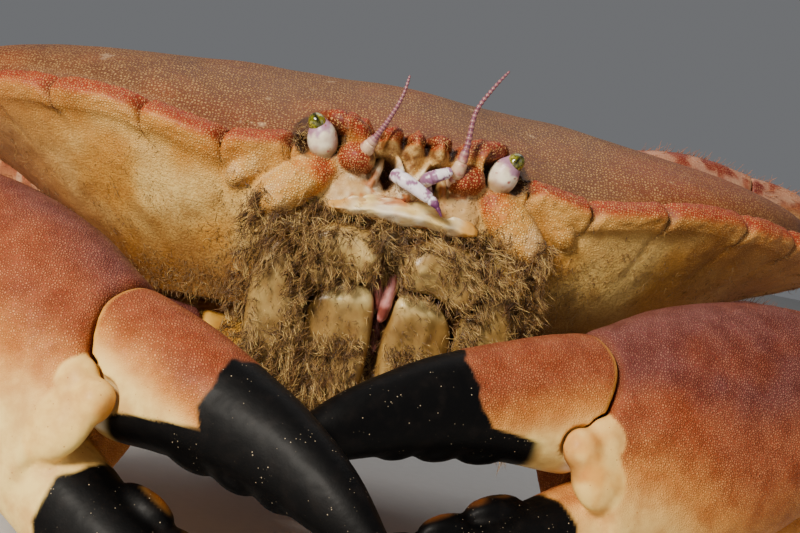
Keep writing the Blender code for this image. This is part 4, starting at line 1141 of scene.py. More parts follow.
MOUTH_PLATES = {
    "ischium": (
        (1.2, -13.5), (3.0, -16.2), (9.5, -16.2), (12.3, -13), (12.9, -5),
        (12.5, 0.8), (9.6, 4.6), (5.2, 6.1), (1.9, 4.2), (0.9, -4),
    ),
    "merus": (
        (2.8, 6.8), (8, 6.4), (13.0, 4.4), (16.0, 6.2), (16.4, 11),
        (14.4, 14.6), (9, 16.0), (4.4, 15.4), (1.9, 12.6), (2.3, 9.5),
    ),
    "exopod": (
        (13.6, -13.5), (18.6, -15.6), (22.6, -11), (23.6, 0), (22.8, 7), (20.4, 11.2),
        (17.4, 10.6), (17.0, 7.4), (16.4, 5.4), (13.7, 3.2), (13.5, -5),
    ),
}


def mouth_plate(part, side):
    """One domed plate: places across and up the mouth's plane, and how far each stands out of it."""
    outline = np.array(MOUTH_PLATES[part], float)
    closed = np.concatenate([outline[-1:], outline, outline[:2]])
    place = 1 + np.linspace(0, len(outline), 120, endpoint=False)
    edge = between(closed, place)
    middle = outline.mean(0)
    shares, rises = [], []
    top = PLATE_RISE * (0.86 if part == "exopod" else 1.0)
    for t in np.linspace(0, 1, 6, endpoint=False):
        shares.append(1.0 - 0.02 * t)
        rises.append(GAP + (top * 0.6 - GAP) * t)
    for t in np.linspace(0, 1, 38):
        shares.append(0.98 * math.cos(t * math.pi / 2) ** 0.8 if t < 1 else 0.01)
        rises.append(top * (0.6 + 0.42 * math.sin(t * math.pi / 2) ** 0.75))
    uv = middle + (edge - middle)[None] * np.array(shares)[:, None, None]
    u, v = uv[..., 0], uv[..., 1]
    rise = np.array(rises)[:, None] * np.ones_like(u)
    flat = np.stack([u, v, rise], -1)
    crown = smooth(rise, top * 0.55, top * 0.9)
    if part == "ischium":
        groove = 1.2 * bell((u - 10) / 1.8) + 1.3 * bell((u - 6) / 2.8, (v + 3) / 5)
        rise = rise + crown * (0.5 * bell((v - 3.6 + 0.25 * (u - 6)) / 1.2) - groove)
        rise = rise - 0.9 * crown * (smooth(v, 0.5, 5.5) ** 2 + smooth(u, 9.0, 12.8) ** 2)
    if part == "merus":
        rise = rise + crown * (1.1 * bell((u - 4.0) / 2.2, (v - 11.5) / 2.2))
        rise = rise - crown * 1.3 * bell((u - 9.5) / 3.0, (v - 9.0) / 3.0)
    rise = rise + crown * (0.5 * rough(flat, 4.5, 8) + 0.08 * rough(flat, 1.2, 18))
    return side * u, v, rise


def make_mouth_plate(part, side):
    u, v, rise = mouth_plate(part, side)
    points, quads, tris = capped(mouth_point(u, v, rise))
    high = np.append(rise.ravel(), (0, rise[-1].mean()))
    level = np.append(v.ravel(), (0, v[-1].mean()))
    # Lower parts of each plate darker, higher parts paler: painted shade and light by height.
    base = smooth(high + 0.9 * rough(points, 4.5, 5), 5.8, 8.6)
    colour = mix((0.60, 0.48, 0.28), (0.80, 0.70, 0.46), base)
    # upper is how far the cream of the top reaches: on the ischium a painted highlight along its top edge,
    # fading downwards; on the other plates an even paler tone.
    upper = 0.25 + 0 * level
    if part == "ischium":
        upper = smooth(level + 0.8 * rough(points, 2.5, 25), 1.2, 4.2)
    colour = mix(colour, (0.95, 0.88, 0.63), upper * 0.8)
    stains = smooth(rough(points * (1.3, 1, 0.8), 1.7, 15), -0.15, 0.5)
    colour = mix(colour, (0.52, 0.39, 0.21), stains * (0.5 - 0.35 * upper))
    # Darkest brown where a plate sinks to the mouth's plane: painted shade in the creases between plates.
    colour = mix(colour, (0.42, 0.28, 0.12), smooth(high, 5.6, 2.5) * 0.9)
    name = f"{part}_{SIDE_WORDS[side]}"
    shell_piece(f"mouth_{name}", (points, quads, tris), "bone", colour, "mouth", f"maxilliped_{name}")


def make_mouth():
    for side in SIDES:
        for part in MOUTH_PLATES:
            make_mouth_plate(part, side)
    soft = []
    for u, v, rise, size, lean in (
        (0.5, 4.2, 3.9, (1.15, 2.2, 4.6), -7),
        (-1.3, 4.8, 2.2, (1.0, 2.0, 3.6), 8),
        (0.2, -3.5, 0.6, (1.0, 1.4, 4.2), 3),
    ):
        rings = lump_rings(mouth_point(u, v, rise), size, turn_y(lean), 40, 32, 2.2)
        soft.append(roughened(rings, 1.6, 0.25, 5))
    points, quads, tris = joined(soft)
    colour = mottled(points, (0.80, 0.56, 0.54), (0.52, 0.27, 0.22), 2.2, 12, -0.2, 0.5)
    shell_piece("mouth_inside", (points, quads, tris), "soft", colour, "mouth", "carapace")


# Limbs


def frame_of(line, hint):
    up = unit(np.cross(hint, line))
    return unit(np.cross(line, up)), up


def loft(start, end, wide, thick, hint, cuts, bow, sides=48, rings=60, power=2.3, trim=GAP / 2, edge=1.4):
    """Rings of a limb segment, as in the solids but finer. edge is the width of its rounded ends."""
    start, end = np.asarray(start, float), np.asarray(end, float)
    line = unit(end - start)
    side, up = frame_of(line, np.asarray(hint, float))
    first, last = unit(cuts[0]), unit(cuts[1])
    start = start + line * (trim / max(line @ first, 0.3))
    end = end - line * (trim / max(line @ last, 0.3))
    length = np.linalg.norm(end - start)
    near = np.concatenate([
        np.linspace(0, edge, 7, endpoint=False), np.linspace(edge, length - edge, rings),
        np.linspace(length - edge, length, 8)[1:],
    ])
    share = near / length
    end_gap = np.minimum(near, length - near)
    curve = 1 - np.clip(1 - end_gap / edge, 0, 1) ** 2
    around = offset_circle(sides)
    inset = edge * (1 - np.sqrt(curve))
    offset = 0
    for axis, sizes, wave in ((side, thick, np.cos(around)), (up, wide, np.sin(around))):
        half = np.maximum(along(sizes, share) - inset, 0.2)
        offset = offset + axis * (half[:, None] * signed_power(wave, 2 / power))[..., None]
    near_start = np.maximum(1 - share / 0.45, 0)[:, None]
    near_end = np.maximum(1 - (1 - share) / 0.45, 0)[:, None]
    shift = near_start * (offset @ first) / (line @ first) + near_end * (offset @ last) / (line @ last)
    centre = start + (end - start) * share[:, None] + up * (bow * 4 * share * (1 - share))[:, None]
    return centre[:, None] + offset - line * shift[..., None]


def evaluated(obj):
    """The object with its modifiers applied."""
    graph = bpy.context.evaluated_depsgraph_get()
    mesh = bpy.data.meshes.new_from_object(obj.evaluated_get(graph))
    obj.modifiers.clear()
    old = obj.data
    obj.data = mesh
    bpy.data.meshes.remove(old)
    return obj


def merge(objects):
    """One object with the meshes of all, which may overlap."""
    parts = [read_mesh(obj) for obj in objects]
    points, _, tris = joined([(p, NO_QUADS, t) for p, t in parts])
    for obj in objects:
        bpy.data.objects.remove(obj)
    return build_mesh("merged", points, None, tris)


def remeshed(obj, voxel, relax):
    """Turns overlapping closed shapes into one skin with softened creases."""
    modifier = obj.modifiers.new("remesh", "REMESH")
    modifier.mode = "VOXEL"
    modifier.voxel_size = voxel * MM
    modifier.use_smooth_shade = True
    evaluated(obj)
    modifier = obj.modifiers.new("relax", "SMOOTH")
    modifier.factor = 0.5
    modifier.iterations = relax
    return evaluated(obj)


def cut_away(obj, other, by):
    """Cuts the other shape, grown by a little, from the object."""
    points, tris = read_mesh(other)
    cutter = build_mesh("cutter", points + normals_of(points, tris=tris) * by, None, tris)
    modifier = obj.modifiers.new("cut", "BOOLEAN")
    modifier.operation = "DIFFERENCE"
    modifier.solver = "EXACT"
    modifier.object = cutter
    bpy.context.view_layer.update()
    evaluated(obj)
    bpy.data.objects.remove(cutter)


def press_clear(obj, other, gap):
    """Presses the parts of the object that lie in the other, or nearer than the gap, out to the gap."""
    tree = BVHTree.FromObject(other, bpy.context.evaluated_depsgraph_get())
    for vertex in obj.data.vertices:
        place, normal, _, _ = tree.find_nearest(vertex.co, 8 * MM)
        if place is not None and (vertex.co - place).dot(normal) < gap * MM:
            vertex.co = place + normal * gap * MM
    return obj


def claw_hip(side):
    """Hip and elbow of a claw, and the way out of the body at its hip."""
    hip = shell_to_floor(np.array(CLAW_HIP) * (side, 1, 1))
    return hip, np.array(ELBOWS[side], float), unit((side, -0.2, 0.1))


def claw_frame(side):
    """Line of the palm and its end, and the directions out of its face and up its height."""
    line = unit(CLAWS[side]["line"])
    end = np.array(CLAWS[side]["end"], float)
    plain_side, _ = frame_of(line, (0, -1.0, 0))
    lean = Matrix.Rotation(side * PALM_LEAN, 3, Vector(line))
    face = unit(np.array(lean @ Vector(plain_side)))
    return line, end, face, unit(np.cross(-side * face, line))


def slanted(rings, side):
    """Leans the seam between palm and upper finger back towards the wrist at its upper edge."""
    line, end, _, up = claw_frame(side)
    local = rings - end
    a, b = local @ line, local @ up
    back = SEAM_LEAN * smooth(b, -1, 15) * smooth(np.abs(a), 26, 0)
    return rings - line * back[..., None]


def knob_lobes(side):
    """Centres and half sizes of the hinge knob's lobes, along the palm, across its face and upwards."""
    return (
        ((1.9, 8.4, 1.6), (3.3, 2.9, 3.6)), ((-2.6, 8.4, 2.2), (3.6, 2.8, 4.0)),
        ((-0.5, 8.2, -0.8), (4.7, 3.0, 3.9)), ((-0.4, 8.4, -3.0), (5.2, 2.8, KNOB_DROP[side])),
    )


def tooth_lump(place, radius, line, up):
    turn = np.stack([line, np.cross(line, up), up], -1)
    return capped(lump_rings(place, (radius * 2.0, radius * 1.15, radius * 0.9), turn, 28, 20))


def paint_claw(obj, side, piece, node, tip=None):
    """Makes a piece of the claw from a remeshed object, with relief, colours and a black tip."""
    points, tris = read_mesh(obj)
    bpy.data.objects.remove(obj)
    line, end, face, up = claw_frame(side)
    normal = normals_of(points, tris=tris)
    local = points - end
    a, b, c = local @ line, local @ up, local @ face
    relief = 0.16 * rough(points, 9, 3) + 0.05 * rough(points, 2.0, 13)
    points = points + normal * relief[:, None]
    wobble = rough(points, 7, 33)
    near_knob = bell(a / 15, (b + 4) / 12)
    height = b / 20 + 0.12 * wobble - 0.1 * c / 13 - 0.25 * near_knob * (c > 0)
    if tip == "thumb":
        height = (b - (11.3 if side > 0 else 12.8)) / 9 + 0.14 * wobble
    else:
        height = height + (0.15 + 0.5 * smooth(-a, 4, 32) if side > 0 else -0.14)
    red = mix(ROSE, PLUM, smooth(height + 0.25 * rough(points, 14, 41), 0.3, 0.9) * (tip != "thumb"))
    colour = mix(CREAM, (0.88, 0.64, 0.36), smooth(height, -0.85, -0.25))
    colour = mix(colour, red, smooth(height, -0.35, 0.30))
    rusty = blotch(points, 10, 52, 0.1, 0.6) * 0.35 * smooth(height, -0.7, 0.2)
    colour = mix(colour, (0.70, 0.38, 0.22), rusty)
    grain = smooth(height, -0.8, 0.0) * 0.95
    seam = a + SEAM_LEAN * smooth(b, -1, 15)
    joint_pale = smooth(np.abs(seam - 0.5), 1.5, 0.6) * (b > -4) * (1.0 if tip == "thumb" else 0.2)
    colour = mix(colour, (0.90, 0.70, 0.36), joint_pale * 0.85)
    place = np.stack([a, c, b], -1)
    reach = [np.linalg.norm((place - spot) / size, axis=-1) for spot, size in knob_lobes(side)]
    knob = smooth(np.min(reach, axis=0), 1.16, 1.04) * (tip == "finger")
    knob_colour = mottled(points, (0.93, 0.80, 0.50), (0.86, 0.64, 0.34), 4, 19, 0.0, 0.6)
    colour = mix(colour, knob_colour, knob * 0.85)
    grain = grain * (1 - knob) * (1 - 0.6 * joint_pale)
    if tip == "thumb":
        t = a / FINGER_LENGTH
        across = np.clip((b + 6) / 16, 0, 1)
        border = along(BLACK_STARTS[side], across)
        border = border + 0.035 * noise(points, 5.0, 61) + 0.008 * noise(points, 1.5, 62)
        black = smooth(t, border - 0.008, border + 0.008)
        lower = THUMB_LIFT - along(THUMB_WIDE, np.clip(t, 0, 1)) + THUMB_BOW * 4 * t * (1 - t)
        deep = 2.4 + 7 * t + 0.5 * wobble
        strip = smooth(t, STRIP_STARTS[side], STRIP_STARTS[side] + 0.05)
        black = np.maximum(black, smooth(b - lower, deep + 0.25, deep - 0.25) * strip)
        # A white patch at the base of the movable finger: worn enamel, painted white for the bright
        # highlight there.
        enamel = smooth(a + 0.9 * wobble, 4.4, 2.6) * smooth(b + 0.8 * wobble, 5.5, 3.0) * smooth(c, 2, 4)
        colour = mix(colour, WHITE, enamel)
        grain = grain * (1 - enamel)
    elif tip == "finger":
        reach = 4.0 + 1.6 * rough(points, 4.5, 63) + 0.25 * np.abs(b + 10)
        black = smooth(a, reach - 0.5, reach + 0.5) * smooth(b, 0.5, -1.5)
        half = along(FINGER_WIDE, np.clip((a + 8) / 56, 0, 1))
        top = smooth(b + FINGER_DROP - half * 0.75, 0.6, 2.2)
        worn = top * blotch(points, 5, 71, -0.35, 0.1) * smooth(a, 2, 8) * smooth(a, 46, 34)
        worn_colour = mottled(points, (0.66, 0.38, 0.14), (0.40, 0.22, 0.10), 2, 73, -0.2, 0.4)
        colour = mix(colour, worn_colour, worn)
        black = black * (1 - 0.9 * worn)
    else:
        black = np.zeros(len(points))
    grain = grain * (1 - black)
    word = SIDE_WORDS[side]
    build_mesh(
        f"{piece}_{word}", points, None, tris, "claw", colour, "claw", [f"claw_{node}_{word}"],
        {"grain": grain, "black": black},
    )


def make_claw(side):
    line, palm_end, face, up = claw_frame(side)
    hint = -side * face
    wrist = palm_end - line * PALM_LENGTH
    hip, elbow, outward = claw_hip(side)
    arm_line, wrist_line = unit(elbow - hip), unit(wrist - elbow)
    arm = build_mesh("arm", *capped(loft(
        hip, elbow + arm_line * 4, (7.2, 9.6, 11.6, 12.8, 12.4, 5.0), (6.8, 8.8, 10.0, 11.2, 11.0, 4.5),
        -side * np.cross(arm_line, UPRIGHT), (outward + arm_line, arm_line), 1.5,
    )))
    carpus = build_mesh("carpus", *capped(loft(
        elbow + (wrist - elbow) * 0.12, wrist, (9.0, 14.0, 15.4, 14.8, 11.0), (8.0, 12.0, 13.6, 12.6, 9.2),
        -side * np.cross(wrist_line, UPRIGHT), (wrist_line, wrist_line + line), 1.6, edge=2.4,
    )))
    cut_away(carpus, arm, 0.5)
    palm = loft(
        wrist, palm_end, PALM_WIDE, PALM_THICK, hint, (wrist_line + line, line), 0.8, 72, 70, 2.35,
        edge=1.5,
    )
    palm = build_mesh("palm", *capped(slanted(palm, side)))
    finger_start = palm_end - up * FINGER_DROP - line * 8
    finger_tip = palm_end - up * 9.5 + line * FINGER_LENGTH
    finger = loft(finger_start, finger_tip, FINGER_WIDE, FINGER_THICK, hint, (line, line), FINGER_BOW)
    finger = capped(finger)
    thumb_start = palm_end + up * THUMB_LIFT
    thumb_line = line * math.cos(CLAW_OPEN) + up * math.sin(CLAW_OPEN)
    thumb_tip = thumb_start + thumb_line * FINGER_LENGTH
    cuts = (line, thumb_line)
    thumb = loft(thumb_start, thumb_tip, THUMB_WIDE, THUMB_THICK, hint, cuts, THUMB_BOW, 56, 64)
    thumb = capped(slanted(thumb, side))
    turn = np.stack([line, face, up], -1)
    knob = []
    for place, size in knob_lobes(side):
        knob.append(capped(lump_rings(palm_end + turn @ np.array(place), size, turn, 40, 28)))
    finger_teeth, thumb_teeth = [], []
    for k, spot in enumerate(TOOTH_SPOTS):
        radius = TOOTH_RADIUS - TOOTH_SHRINK * k
        low = finger_start + (finger_tip - finger_start) * (spot + 0.1) - up * 1.8
        finger_teeth.append(tooth_lump(low + up * along(FINGER_WIDE, spot + 0.1) * 0.86, radius, line, up))
        high = thumb_start + (thumb_tip - thumb_start) * spot + up * 3.0
        thumb_teeth.append(tooth_lump(high - up * along(THUMB_WIDE, spot) * 0.86, radius, thumb_line, up))
    cut_away(palm, carpus, 0.5)
    palm = merge([palm] + [build_mesh("part", *part) for part in [finger, *knob, *finger_teeth]])
    palm = remeshed(palm, 0.55, 8)
    thumb = remeshed(merge([build_mesh("part", *part) for part in [thumb, *thumb_teeth]]), 0.45, 8)
    thumb = press_clear(remeshed(press_clear(thumb, palm, 0.5), 0.4, 3), palm, 0.45)
    paint_claw(remeshed(arm, 0.8, 3), side, "arm", "merus")
    paint_claw(remeshed(carpus, 0.6, 3), side, "wrist", "carpus")
    paint_claw(palm, side, "palm", "palm", "finger")
    paint_claw(thumb, side, "thumb", "dactyl", "thumb")


def heading_line(degrees, slope, side):
    turn, rise = math.radians(degrees), math.radians(slope)
    ahead = math.cos(rise)
    return np.array([side * math.cos(turn) * ahead, math.sin(turn) * ahead, math.sin(rise)])


def leg_joints(index, side):
    along_body, across = LEG_HIPS[index]
    hip = shell_to_floor((side * (across + HIP_REACH), along_body, HIP_LEVEL))
    lengths = [length * LEG_SCALES[index] for length in LEG_LENGTHS]
    if (index, side) == (3, 1):
        lines = [unit(line) for line in RAISED_LINES]
    else:
        heading = LEG_HEADINGS[index]
        lines = [heading_line(heading, slope, side) for slope in (0, *LEG_SLOPES)]
        drop = hip[2] + sum(line[2] * length for line, length in zip(lines[1:], lengths[1:]))
        lines[0] = heading_line(heading, math.degrees(math.asin(-drop / lengths[0])), side)
    joints = [hip]
    for line, length in zip(lines, lengths):
        joints.append(joints[-1] + line * length)
    return joints


def make_leg(index, side, coat):
    joints = leg_joints(index, side)
    planted = (index, side) != (3, 1)
    lines = [unit(b - a) for a, b in zip(joints, joints[1:])]
    cuts = [a + b for a, b in zip([heading_line(LEG_HEADINGS[index], 8, side)] + lines, lines)]
    cuts.append(np.array([0, 0, -1.0]) if planted else lines[3])
    hint = np.cross(unit((lines[0][0], lines[0][1], 0)), UPRIGHT)
    word = SIDE_WORDS[side]
    scale = LEG_SCALES[index]
    for k, part in enumerate(("merus", "carpus", "propodus", "dactyl")):
        rings = loft(
            joints[k], joints[k + 1], np.array(LEG_WIDE[k]) * scale, np.array(LEG_THICK[k]) * scale, hint,
            (cuts[k], cuts[k + 1]), LEG_BOW[k] if planted or k else 0, 32, 40, 2.3,
            GAP / 2 if k < 3 or not planted else 0.075, 0.9 if k == 3 else 1.5,
        )
        if k == 3 and planted:
            rings[..., 2] = np.maximum(rings[..., 2], 0)
            rings[-1, :, 2] = 0
        points, quads, tris = capped(rings)
        normal = normals_of(points, quads, tris)
        side_axis, up_axis = frame_of(lines[k], hint)
        reach = joints[k + 1] - joints[k]
        local = points - (joints[k] + reach * 0.5)
        a = (points - joints[k]) @ lines[k] / np.linalg.norm(reach)
        b, c = local @ up_axis, local @ side_axis
        ridge = -0.35 * bell(b / 1.1) * smooth(a, 0.05, 0.2) * smooth(a, 0.97, 0.85)
        if k == 3:
            ridge = 0.32 * np.cos(np.arctan2(b, c) * 6) * smooth(a, 0.0, 0.2) * smooth(a, 0.95, 0.8)
        points = points + normal * (ridge + 0.2 * rough(points, 5, 8 + k))[:, None]
        if planted and k == 3:
            points[:, 2] = np.maximum(points[:, 2], 0)
        top = smooth(normal[:, 2] + 0.3 * rough(points, 6, 22), -0.4, 0.5)
        colour = mix((0.80, 0.62, 0.42), (0.56, 0.24, 0.18), top)
        colour = mix(colour, (0.42, 0.18, 0.20), blotch(points, 5, 28, 0.0, 0.5) * 0.55)
        pale = -0.15 if not planted else 0.25
        colour = mix(colour, (0.86, 0.76, 0.66), blotch(points, 4, 36, pale, pale + 0.25) * 0.65)
        ends = smooth(np.minimum(a, 1 - a), 0.07, 0.0)
        colour = mix(colour, (0.86, 0.72, 0.52), ends * 0.7 * (k < 3))
        if k == 3:
            colour = mix(colour, (0.10, 0.07, 0.06), smooth(a + 0.05 * rough(points, 2, 4), 0.72, 0.86))
        slot = "leg_tip" if k == 3 else "leg"
        build_mesh(
            f"leg{index + 1}_{part}_{word}", points, quads, tris, "leg", colour, slot,
            [f"leg_{index + 1}_{part}_{word}"], {"grain": 0.5 * top, "velvet": 1 - top},
        )
        coat.append((points, halved(quads), a, b, c, lines[k], k))


def make_joints():
    """Soft skin between the segments of the limbs, just inside their ends."""
    parts = []
    for side in SIDES:
        for index in range(len(LEG_HIPS)):
            joints = leg_joints(index, side)
            for k in range(4):
                size = LEG_SCALES[index] * (LEG_THICK[k][0] - 1.2)
                parts.append(roughened(lump_rings(joints[k], (size,) * 3, None, 20, 12), 1.5, 0.3, k))
        hip, elbow, _ = claw_hip(side)
        line, end, face, up = claw_frame(side)
        balls = ((hip, 6.0), (elbow, 6.0), (end - line * PALM_LENGTH, 7.2))
        for seed, (place, size) in enumerate(balls, 1):
            parts.append(roughened(lump_rings(place, (size,) * 3, None, 32, 20), 2, 0.4, seed))
        turn = np.stack([line, face, up], -1)
        seam = lump_rings(end + up * 8.0 - line * 2.4, (2.6, 6.6, 8.0), turn, 40, 24)
        parts.append(roughened(seam, 2, 0.3, 4))
    points, quads, tris = joined(parts)
    colour = mottled(points, (0.78, 0.64, 0.42), (0.50, 0.34, 0.20), 2.5, 8, -0.3, 0.4)
    build_mesh("joint_skin", points, quads, tris, "soft", colour, "underside", ["thorax"])


# Underside


def make_breast():
    angle = np.linspace(-math.pi, math.pi, 270, endpoint=False)
    radius = outline_radius(angle)
    shares = shares_at(BREAST_SHARES, angle)
    control = [(radius * shares[:, 0] * 0.5, BREAST_LEVELS[0] + 0 * radius)]
    control += [(radius * shares[:, k], level + 0 * radius) for k, level in enumerate(BREAST_LEVELS)]
    control.append((radius * shares[:, 3] * 0.45, BREAST_DEPTH + 0.2 + 0 * radius))
    control.append((0 * radius, BREAST_DEPTH + 0 * radius))
    place = np.linspace(0, len(control) - 1, 72)
    profile = between(np.array([np.stack(pair, -1) for pair in control]), place)
    r, z = profile[..., 0], profile[..., 1]
    points = turned(angle, r, z).reshape(-1, 3)
    quads = grid_quads(len(place), len(angle))
    normal = normals_of(points, quads)
    x, y = points[:, 0], points[:, 1]
    seams = sum(bell((y - 0.16 * np.abs(x) - at) / 0.9) for at in (-26, -14, -3, 9, 21, 33))
    lift = -0.9 * seams * smooth(np.abs(x), 4, 9) + 0.3 * rough(points, 6, 3) - 0.7 * bell(x / 0.9)
    points, _ = sculpt_face(points + normal * lift[:, None])
    colour = mottled(points, (0.84, 0.70, 0.46), (0.66, 0.48, 0.28), 8, 11, -0.3, 0.5)
    colour = mix(colour, (0.42, 0.30, 0.18), np.clip(seams, 0, 1) * 0.6)
    shell_piece("breast", (points, quads, None), "bone", colour, "underside", "thorax")


def make_hips():
    """Stubs from the body to the limbs."""
    hips = []
    for side in SIDES:
        for index in range(4):
            joints = leg_joints(index, side)
            line = heading_line(LEG_HEADINGS[index], 8, side)
            cut = line + unit(joints[1] - joints[0])
            hint = np.cross((line[0], line[1], 0), UPRIGHT)
            size = HIP_RADIUS * LEG_SCALES[index]
            wide, thick = ((HIP_RADIUS, HIP_RADIUS, size * share) for share in (0.95, 0.86))
            hips.append(loft(joints[0] - line * 20, joints[0], wide, thick, hint, (line, cut), 0, 28, 24))
        hip, elbow, outward = claw_hip(side)
        hint, cuts = np.cross(outward, UPRIGHT), (outward, outward + unit(elbow - hip))
        size = (CLAW_HIP_RADIUS,) * 3
        hips.append(loft(hip - outward * 20, hip, size, size, hint, cuts, 0, 28, 24))
    points, quads, tris = joined([roughened(rings, 4, 0.3, 6) for rings in hips])
    colour = mottled(points, (0.84, 0.66, 0.32), (0.60, 0.40, 0.18), 5, 14, -0.2, 0.5)
    build_mesh("hips", points, quads, tris, "bone", colour, "underside", ["thorax"])


def make_tail():
    share = np.linspace(0, 1, 150)
    centre = np.insert(along(TAIL_LINE, share), 0, 0, axis=1)
    line = unit(np.gradient(centre, axis=0))
    out = unit(np.cross(line, (1.0, 0, 0)))
    half = along(TAIL_WIDE, share)
    c, s = np.cos(offset_circle(TAIL_SIDES)), np.sin(offset_circle(TAIL_SIDES))
    step = (share * 7) % 1
    thick = TAIL_THICK - 0.5 * bell(np.minimum(step, 1 - step) / 0.05) - 0.25 * step
    half = half - 1.6 * (2 * step - 1) ** 4
    rings = centre[:, None] + (half[:, None] * signed_power(c, 0.85))[..., None] * (1.0, 0, 0)
    rings = rings + out[:, None] * (thick[:, None] * s)[..., None]
    rings = rings + out[:, None] * (2.4 * (rings[..., 0] / 25) ** 2)[..., None]
    ridge = 0.7 * bell(rings[..., 0] / 4.5) - 0.5 * bell((np.abs(rings[..., 0]) - 9) / 2.5)
    rings = rings + out[:, None] * (ridge * np.sign(s))[..., None] * 0.6
    points, quads, tris = roughened(rings, 5, 0.3, 4)
    seam = np.append(np.repeat(np.minimum(step, 1 - step), TAIL_SIDES), (1, 1))
    colour = mottled(points, (0.82, 0.64, 0.36), (0.68, 0.46, 0.26), 12, 9, -0.4, 0.5)
    colour = mix(colour, (0.62, 0.36, 0.24), smooth(seam + 0.15 * rough(points, 5, 10), 0.1, 0.3) * 0.6)
    colour = mix(colour, (0.42, 0.29, 0.16), bell(seam / 0.04) * 0.6)
    shell_piece("tail", (points, quads, tris), "bone", colour, "underside", "abdomen")
    return rings, out


# Bristles


def bristles(name, slot, roots, lines, lengths, radius, colours, places, curl, seed, steps=3):
    """Thin tapered bristles as one mesh. places are the spots of their roots, 0 to 1, on an unwrap."""
    rng = np.random.default_rng(seed)
    count = len(roots)
    lines = unit(lines)
    side = unit(np.cross(lines, unit(rng.normal(size=(count, 3)))))
    up = np.cross(side, lines)
    share = np.linspace(0, 1, steps)
    bend = curl * lengths * rng.uniform(0.3, 1.0, count)
    wave = curl * 0.3 * lengths * rng.uniform(-1, 1, count)
    route = roots[:, None] + lines[:, None] * (lengths[:, None] * share)[..., None]
    route = route + side[:, None] * (bend[:, None] * share**2)[..., None]
    route = route + up[:, None] * (wave[:, None] * np.sin(share * 4.5))[..., None]
    width = radius[:, None] * (1 - 0.85 * share)
    section = ring(side, up, np.array([0, 2.094, 4.189]))[:, None]
    points = route[:, :, None] + section * width[..., None, None]
    first = (np.arange(count) * steps * 3)[:, None]
    quads = (first[:, :, None] + grid_quads(steps, 3)[None]).reshape(-1, 4)
    tips = first + (steps - 1) * 3 + np.arange(3)[None]
    shade = np.tile(np.repeat(0.78 + 0.34 * share, 3), count)
    paint = np.repeat(colours, steps * 3, axis=0) * shade[:, None]
    patch = np.stack([np.tile(np.arange(3) / 2, steps), np.repeat(share, 3)], -1) * UV_PATCH
    uv = (places[:, None] + patch[None]).reshape(-1, 2)
    build_mesh(name, points.reshape(-1, 3), quads, tips, "bristle", paint, slot, uv=uv)


def on_floor(roots, lines):
    """Roots of bristles and the lines they follow, turned from the shell's frame into the floor's."""
    ends = shell_to_floor(roots + lines)
    roots = shell_to_floor(roots)
    return roots, ends - roots


def clumped(roots, lines, size, pull, seed):
    """Bends bristles that stand close together towards one point, as wet tufts do. Also gives a random
    number for the tuft of each."""
    place = roots / size + 0.6 * rough(roots, size * 1.5, seed)[:, None]
    cell = np.floor(place)
    inward = (cell + 0.5 - place) * size
    tuft = np.stack([hashed(cell.astype(np.int64), seed + k) for k in range(3)], -1)
    return unit(lines) + pull * (inward / size + 0.7 * tuft), tuft[:, 0]


def hair_colours(rng, tuft):
    """Golden brown, paler in some tufts."""
    share = np.clip(rng.random(len(tuft)) ** 1.5 * 0.9 + 0.35 * tuft, 0, 1)
    return mix(HAIR_BROWN, HAIR_GOLD, share)


def mouth_coat(side):
    """Dense tufts over the upper plates, along the edges of the others and below, on one side."""
    rng = np.random.default_rng(7 + side)
    tries = MOUTH_BRISTLES * 5
    u = rng.uniform(0, 27, tries)
    v = rng.uniform(-21, 19.5, tries)
    patchy = rough(np.stack([side * u, v, 0 * u], -1), 6.5, 77)
    dense = 0.9 * smooth(v, 4.5, 7.0) * smooth(patchy, -0.7, -0.1)
    dense = dense + 0.8 * smooth(u, 3.0, 1.5) * smooth(v, 7.0, 8.5)
    dense = dense + 0.9 * bell((u - 15.2) / 2.2) + 0.6 * bell((u - 1.2) / 0.8) * smooth(v, 2, -2)
    dense = dense + 0.9 * smooth(v + 2.5 * patchy, -1.5, -4.5) + 0.9 * smooth(u, 20.8, 23.2)
    bare = bell((u - 6.4) / 4.4, (v - 0.8) / 3.8, power=4)
    bare = np.maximum(bare, bell((u - 19.4) / 2.0, (v - 1.0) / 7.5, power=4))
    if side > 0:
        bare = np.maximum(bare, 0.75 * bell((u - 7.5) / 5.4, (v - 9.6) / 2.8, power=4))
    corner = (12.5, 8.0) if side > 0 else (4.0, 6.5)
    bare = np.maximum(bare, bell((u - corner[0]) / 2.0, (v - corner[1]) / 1.7))
    dense = np.maximum(dense * (1 - bare), 0.07 * bare)
    keep = rng.random(tries) < dense
    u, v, bare = (values[keep][:MOUTH_BRISTLES] for values in (u, v, bare))
    count = len(u)
    inner = smooth(u, 23.4, 21.8) * smooth(u, 0.6, 2.6) * smooth(np.abs(v), 17.0, 15.0)
    rise = 2.4 + (PLATE_RISE - 2.9) * inner + rng.uniform(-0.6, 0.4, count)
    rise = np.where(u > 23.4, rise + 2.0, rise)
    roots = mouth_point(side * u, v, rise)
    up, out = mouth_axes()
    lines = out + rng.normal(size=(count, 3)) * 0.2 - up * rng.uniform(0.1, 0.9, count)[:, None]
    lines[:, 0] += side * 0.25
    lines, tuft = clumped(roots, lines, 1.7, 0.95, 5)
    lengths = rng.uniform(1.0, 3.1, count) * (0.8 + 0.4 * smooth(v, 0, 8) + 0.5 * smooth(v, -5, -10))
    lengths = lengths * (1 - 0.55 * bare)
    places = np.stack([0.1 + u / 27 * 0.35 + 0.45 * (side > 0), 0.1 + (v + 21) / 42 * 0.8], -1)
    bristles(
        f"mouth_bristles_{SIDE_WORDS[side]}", "mouth", *on_floor(roots, lines), lengths,
        rng.uniform(0.05, 0.10, count), hair_colours(rng, tuft), places, 0.25, 3, 4,
    )


